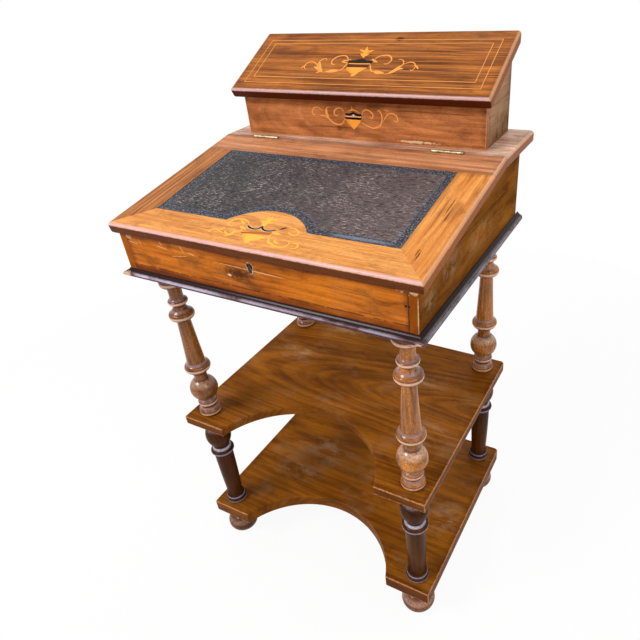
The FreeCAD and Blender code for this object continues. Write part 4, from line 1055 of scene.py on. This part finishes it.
boxLidInlay = {                # millimetres across, and up from the lid's front edge
    "amber": [
        ("scroll", 2.6, [(-31, 76), (-32, 80), (-36, 86), (-42, 90), (-50, 90), (-57, 87),
                         (-61, 82), (-62, 76), (-60, 71), (-56, 68), (-52, 69)]),
        ("leaf", 4.0, [(-29, 80), (-41, 76), (-29, 72)]),
        ("scroll", 2.4, [(-29, 76), (-31, 66), (-33, 58), (-38, 52)]),
        ("leaf", 7.4, [(-38, 53), (-50, 52), (-63, 50)]),
        ("scroll", 2.2, [(-62, 49), (-72, 50), (-80, 56), (-85, 66), (-86, 72), (-85, 78),
                         (-81, 82), (-77, 83), (-73, 78)]),
        ("leaf", 7.0, [(-69, 51), (-79, 57), (-91, 62)]),
        ("leaf", 5.0, [(-72, 49), (-78, 60), (-85, 74)]),
        ("leaf", 4.0, [(-72, 58), (-74, 51), (-80, 47)]),
        ("scroll", 2.2, [(-85, 64), (-90, 69), (-96, 73), (-103, 74), (-109, 71), (-111, 65),
                         (-109, 59), (-105, 56)]),
        ("leaf", 3.0, [(-108, 66), (-113, 62), (-116, 57)]),
        ("scroll", 2.6, [(16, 77), (18, 83), (22, 89), (30, 92), (38, 92), (45, 87), (48, 80),
                         (46, 74), (42, 71), (38, 72)]),
        ("leaf", 4.0, [(12, 84), (18, 78), (26, 75)]),
        ("scroll", 2.4, [(14, 70), (18, 62), (22, 55), (28, 52)]),
        ("leaf", 7.4, [(27, 53), (36, 51), (47, 50)]),
        ("scroll", 2.2, [(45, 49), (50, 48), (56, 50), (62, 55), (68, 62), (72, 70), (72, 74),
                         (70, 79), (65, 82), (60, 82)]),
        ("leaf", 5.0, [(60, 55), (69, 60), (77, 61)]),
        ("leaf", 7.0, [(54, 48), (64, 57), (69, 68)]),
        ("scroll", 2.2, [(73, 71), (80, 75), (86, 76), (92, 73), (96, 67)]),
        ("leaf", 3.4, [(92, 70), (98, 66), (103, 60)]),
        ("scroll", 1.8, [(96, 67), (95, 60), (92, 57), (89, 59)]),
    ],
    "honey": [
        ("form", 0, [(-7, 41, 7), (-7, 44, 7), (-6, 46, 9), (-6, 48, 13), (-6.5, 51, 20),
                     (-7, 55, 28), (-7.5, 59, 37), (-7.5, 62, 39)]),
        ("bar", 2.2, [(-27, 71), (-7, 70.6), (13, 71)]),
        ("form", 0, [(-6, 86, 3), (-7, 90, 7), (-7.3, 94, 11), (-7.7, 98, 8), (-8, 101, 10),
                     (-8.7, 105, 6), (-10, 113, 1)]),
        ("leaf", 4.6, [(-7, 100), (-14, 102), (-21, 106)]),
        ("leaf", 4.6, [(-8, 100), (-1, 101), (6, 104)]),
        ("leaf", 3.6, [(-6, 90), (-11, 92), (-16, 97)]),
        ("leaf", 3.6, [(-7, 90), (-3, 92), (1, 97)]),
    ],
    "brown": [("form", 0, [(-7.3, 62, 39), (-7.2, 65, 40), (-7, 69, 40)])],
    "black": [("form", 0, [(-7.5, 72.5, 44), (-7.5, 76, 46), (-7.5, 79, 44)]),
              ("leaf", 5.0, [(-31, 79), (-20, 77), (-7, 80), (4, 77), (15, 79)])],
    "white": [("bar", 0.9, [(-30, 81), (-20, 77.5), (-7, 81), (4, 77.5), (15, 81)]),
              ("leaf", 2.4, [(-9, 74), (-7, 74.4), (-5, 74)])],
}
railInlay = {                  # millimetres across, and up from the lid's front edge
    "gold": [
        ("scroll", 2.8, [(-27, 55), (-34, 61), (-43, 64), (-53, 63), (-59, 57), (-61, 50),
                         (-57, 46), (-51, 44)]),
        ("leaf", 3.4, [(-46, 62), (-40, 57), (-34, 55)]),
        ("leaf", 5.4, [(-38, 47), (-31, 45), (-23, 42)]),
        ("scroll", 2.4, [(-29, 46), (-30, 38), (-35, 33), (-41, 29)]),
        ("leaf", 6.0, [(-48, 21), (-41, 25), (-38, 30), (-39, 37)]),
        ("leaf", 3.6, [(-54, 32), (-49, 28), (-43, 26)]),
        ("scroll", 2.6, [(-53, 27), (-61, 29), (-69, 32), (-75, 30), (-78, 25), (-73, 24)]),
        ("leaf", 2.6, [(-64, 30), (-61, 34), (-58, 38)]),
        ("form", 0, [(-3, 13, 1), (-3.5, 17, 8), (-4, 22, 21), (-3.5, 28, 34), (-3, 35, 46)]),
        ("leaf", 5.4, [(20, 45), (27, 45), (36, 44)]),
        ("scroll", 2.6, [(37, 61), (46, 62), (55, 58), (60, 52), (56, 47), (48, 48), (43, 53)]),
        ("scroll", 3.0, [(21, 42), (22, 36), (27, 28), (37, 20), (48, 18), (57, 20), (60, 28),
                         (56, 34)]),
        ("leaf", 4.0, [(34, 31), (38, 27), (46, 24)]),
        ("leaf", 4.0, [(24, 30), (30, 23), (40, 21)]),
        ("scroll", 2.6, [(62, 30), (70, 31), (75, 27), (74, 21), (67, 20)]),
        ("form", 0, [(-3, 54, 4), (-4, 60, 9), (-4, 66, 11), (-3, 72, 9), (-2.5, 77, 5),
                     (-2, 81, 1)]),
        ("leaf", 4.4, [(-4, 62), (-9, 64), (-12, 69)]),
        ("leaf", 4.0, [(-3, 71), (-7, 74), (-9, 79)]),
        ("leaf", 4.0, [(-3, 64), (3, 66), (7, 65)]),
        ("leaf", 4.0, [(-2, 70), (4, 74), (11, 73)]),
    ],
    "rust": [("form", 0, [(-2.5, 36, 44), (-3, 39, 47), (-3.5, 41, 49)])],
    "brown": [("leaf", 3.6, [(27, 54), (31, 58), (35, 61)])],
    "white": [("bar", 5.0, [(-26, 50.5), (-20, 47.5), (-12, 46), (-6, 48), (-3, 53.5), (-1, 51),
                            (3, 48), (10, 46.5), (17, 48), (21, 50.5)])],
    "black": [("bar", 3.2, [(-26, 51), (-20, 47.5), (-12, 46), (-6, 48), (-3, 54), (-1, 51.5),
                            (3, 48), (10, 46.5), (17, 48), (21, 51)])],
}
boxFrontInlay = {              # millimetres across, and up from 75 under the floor
    "amber": [
        ("scroll", 2.2, [(-20, 925), (-25, 929), (-32, 929), (-38, 925), (-39, 920), (-35, 917),
                         (-31, 919)]),
        ("scroll", 2.4, [(-19, 913), (-25, 905), (-33, 903), (-42, 905), (-50, 911), (-55, 918),
                         (-56, 924), (-52, 930), (-46, 930)]),
        ("leaf", 4.0, [(-50, 914), (-54, 921), (-53, 929)]),
        ("scroll", 2.0, [(-50, 911), (-60, 916), (-68, 916)]),
        ("scroll", 2.0, [(-62, 924), (-70, 929), (-78, 928), (-83, 922), (-82, 917), (-77, 917)]),
        ("scroll", 2.2, [(14, 921), (17, 927), (24, 929), (31, 926), (35, 921), (32, 916),
                         (28, 918)]),
        ("scroll", 2.4, [(13, 908), (20, 905), (28, 902), (36, 901), (45, 904), (50, 911),
                         (51, 918), (50, 924), (46, 929), (43, 927)]),
        ("scroll", 2.0, [(53, 912), (58, 920), (65, 925), (72, 925), (78, 921), (79, 915),
                         (75, 913), (72, 915)]),
        ("leaf", 1.6, [(55, 929), (60, 929.5), (65, 927)]),
    ],
    "honey": [
        ("form", 0, [(-3, 897, 1), (-3, 901, 11), (-3, 906, 21), (-3, 911, 28), (-3.5, 915, 31)]),
        ("leaf", 1.6, [(-14, 925), (-2, 928), (10, 924)]),
        ("leaf", 2.4, [(-6, 926), (-4, 930), (-5, 934)]),
    ],
    "brown": [("form", 0, [(-3, 912.5, 29), (-3, 916, 32)])],
    "white": [("bar", 1.0, [(-17, 917.4), (-2, 917), (12, 917.4)]),
              ("leaf", 2.4, [(-4, 919.2), (-2, 919.6), (0, 919.2)])],
    "black": [("bar", 3.6, [(-17, 920.6), (-10, 920.2), (-5, 921.6), (-2, 922.8), (2, 921.4),
                            (8, 919.8), (13, 920)])],
}
inlays = {"boxLid": boxLidInlay, "rail": railInlay, "boxFront": boxFrontInlay}
for panelName, woods in inlays.items():
    for woodName, strips in woods.items():
        layInlay(panelName, woodName, strips)
print("inlay laid")


# A world that looks white and lights everything with a soft glow.
def roomFinish():
    seen = Finish(bpy.data.worlds.new("room"))
    direct = seen.direct()
    strength = direct + (1 - direct) * studio["glow"]
    glow = seen.node("Background", None, [studio["white"], strength])
    seen.node("OutputWorld", None, [glow])
    bpy.context.scene.world = seen.owner


# A plain matt floor that takes the shadow and fades to white further out.
def makeFloor():
    half = studio["floorHalf"]
    mesh = bpy.data.meshes.new("floor")
    mesh.from_pydata([(-half, -half, 0), (half, -half, 0), (half, half, 0), (-half, half, 0)],
                     [], [(0, 1, 2, 3)])
    floor = bpy.data.objects.new("floor", mesh)
    bpy.context.scene.collection.objects.link(floor)
    finish = newFinish("floor")
    far = finish.ease(finish.length(finish.place()), *studio["fade"])
    share = finish.direct() * finish.most(far, studio["floorWhite"])
    matt = finish.node("BsdfDiffuse", None, [studio["floorTone"]])
    white = finish.node("Emission", None, [studio["white"], 1.0])
    finish.node("OutputMaterial", None, [finish.node("MixShader", None, [share, matt, white])])
    mesh.materials.append(finish.owner)


makeCamera(cameraView)
makeLamps(studio["lamps"])
roomFinish()
makeFloor()
bpy.context.scene.view_settings.view_transform = "Standard"
print("room, floor, lamps and camera made")
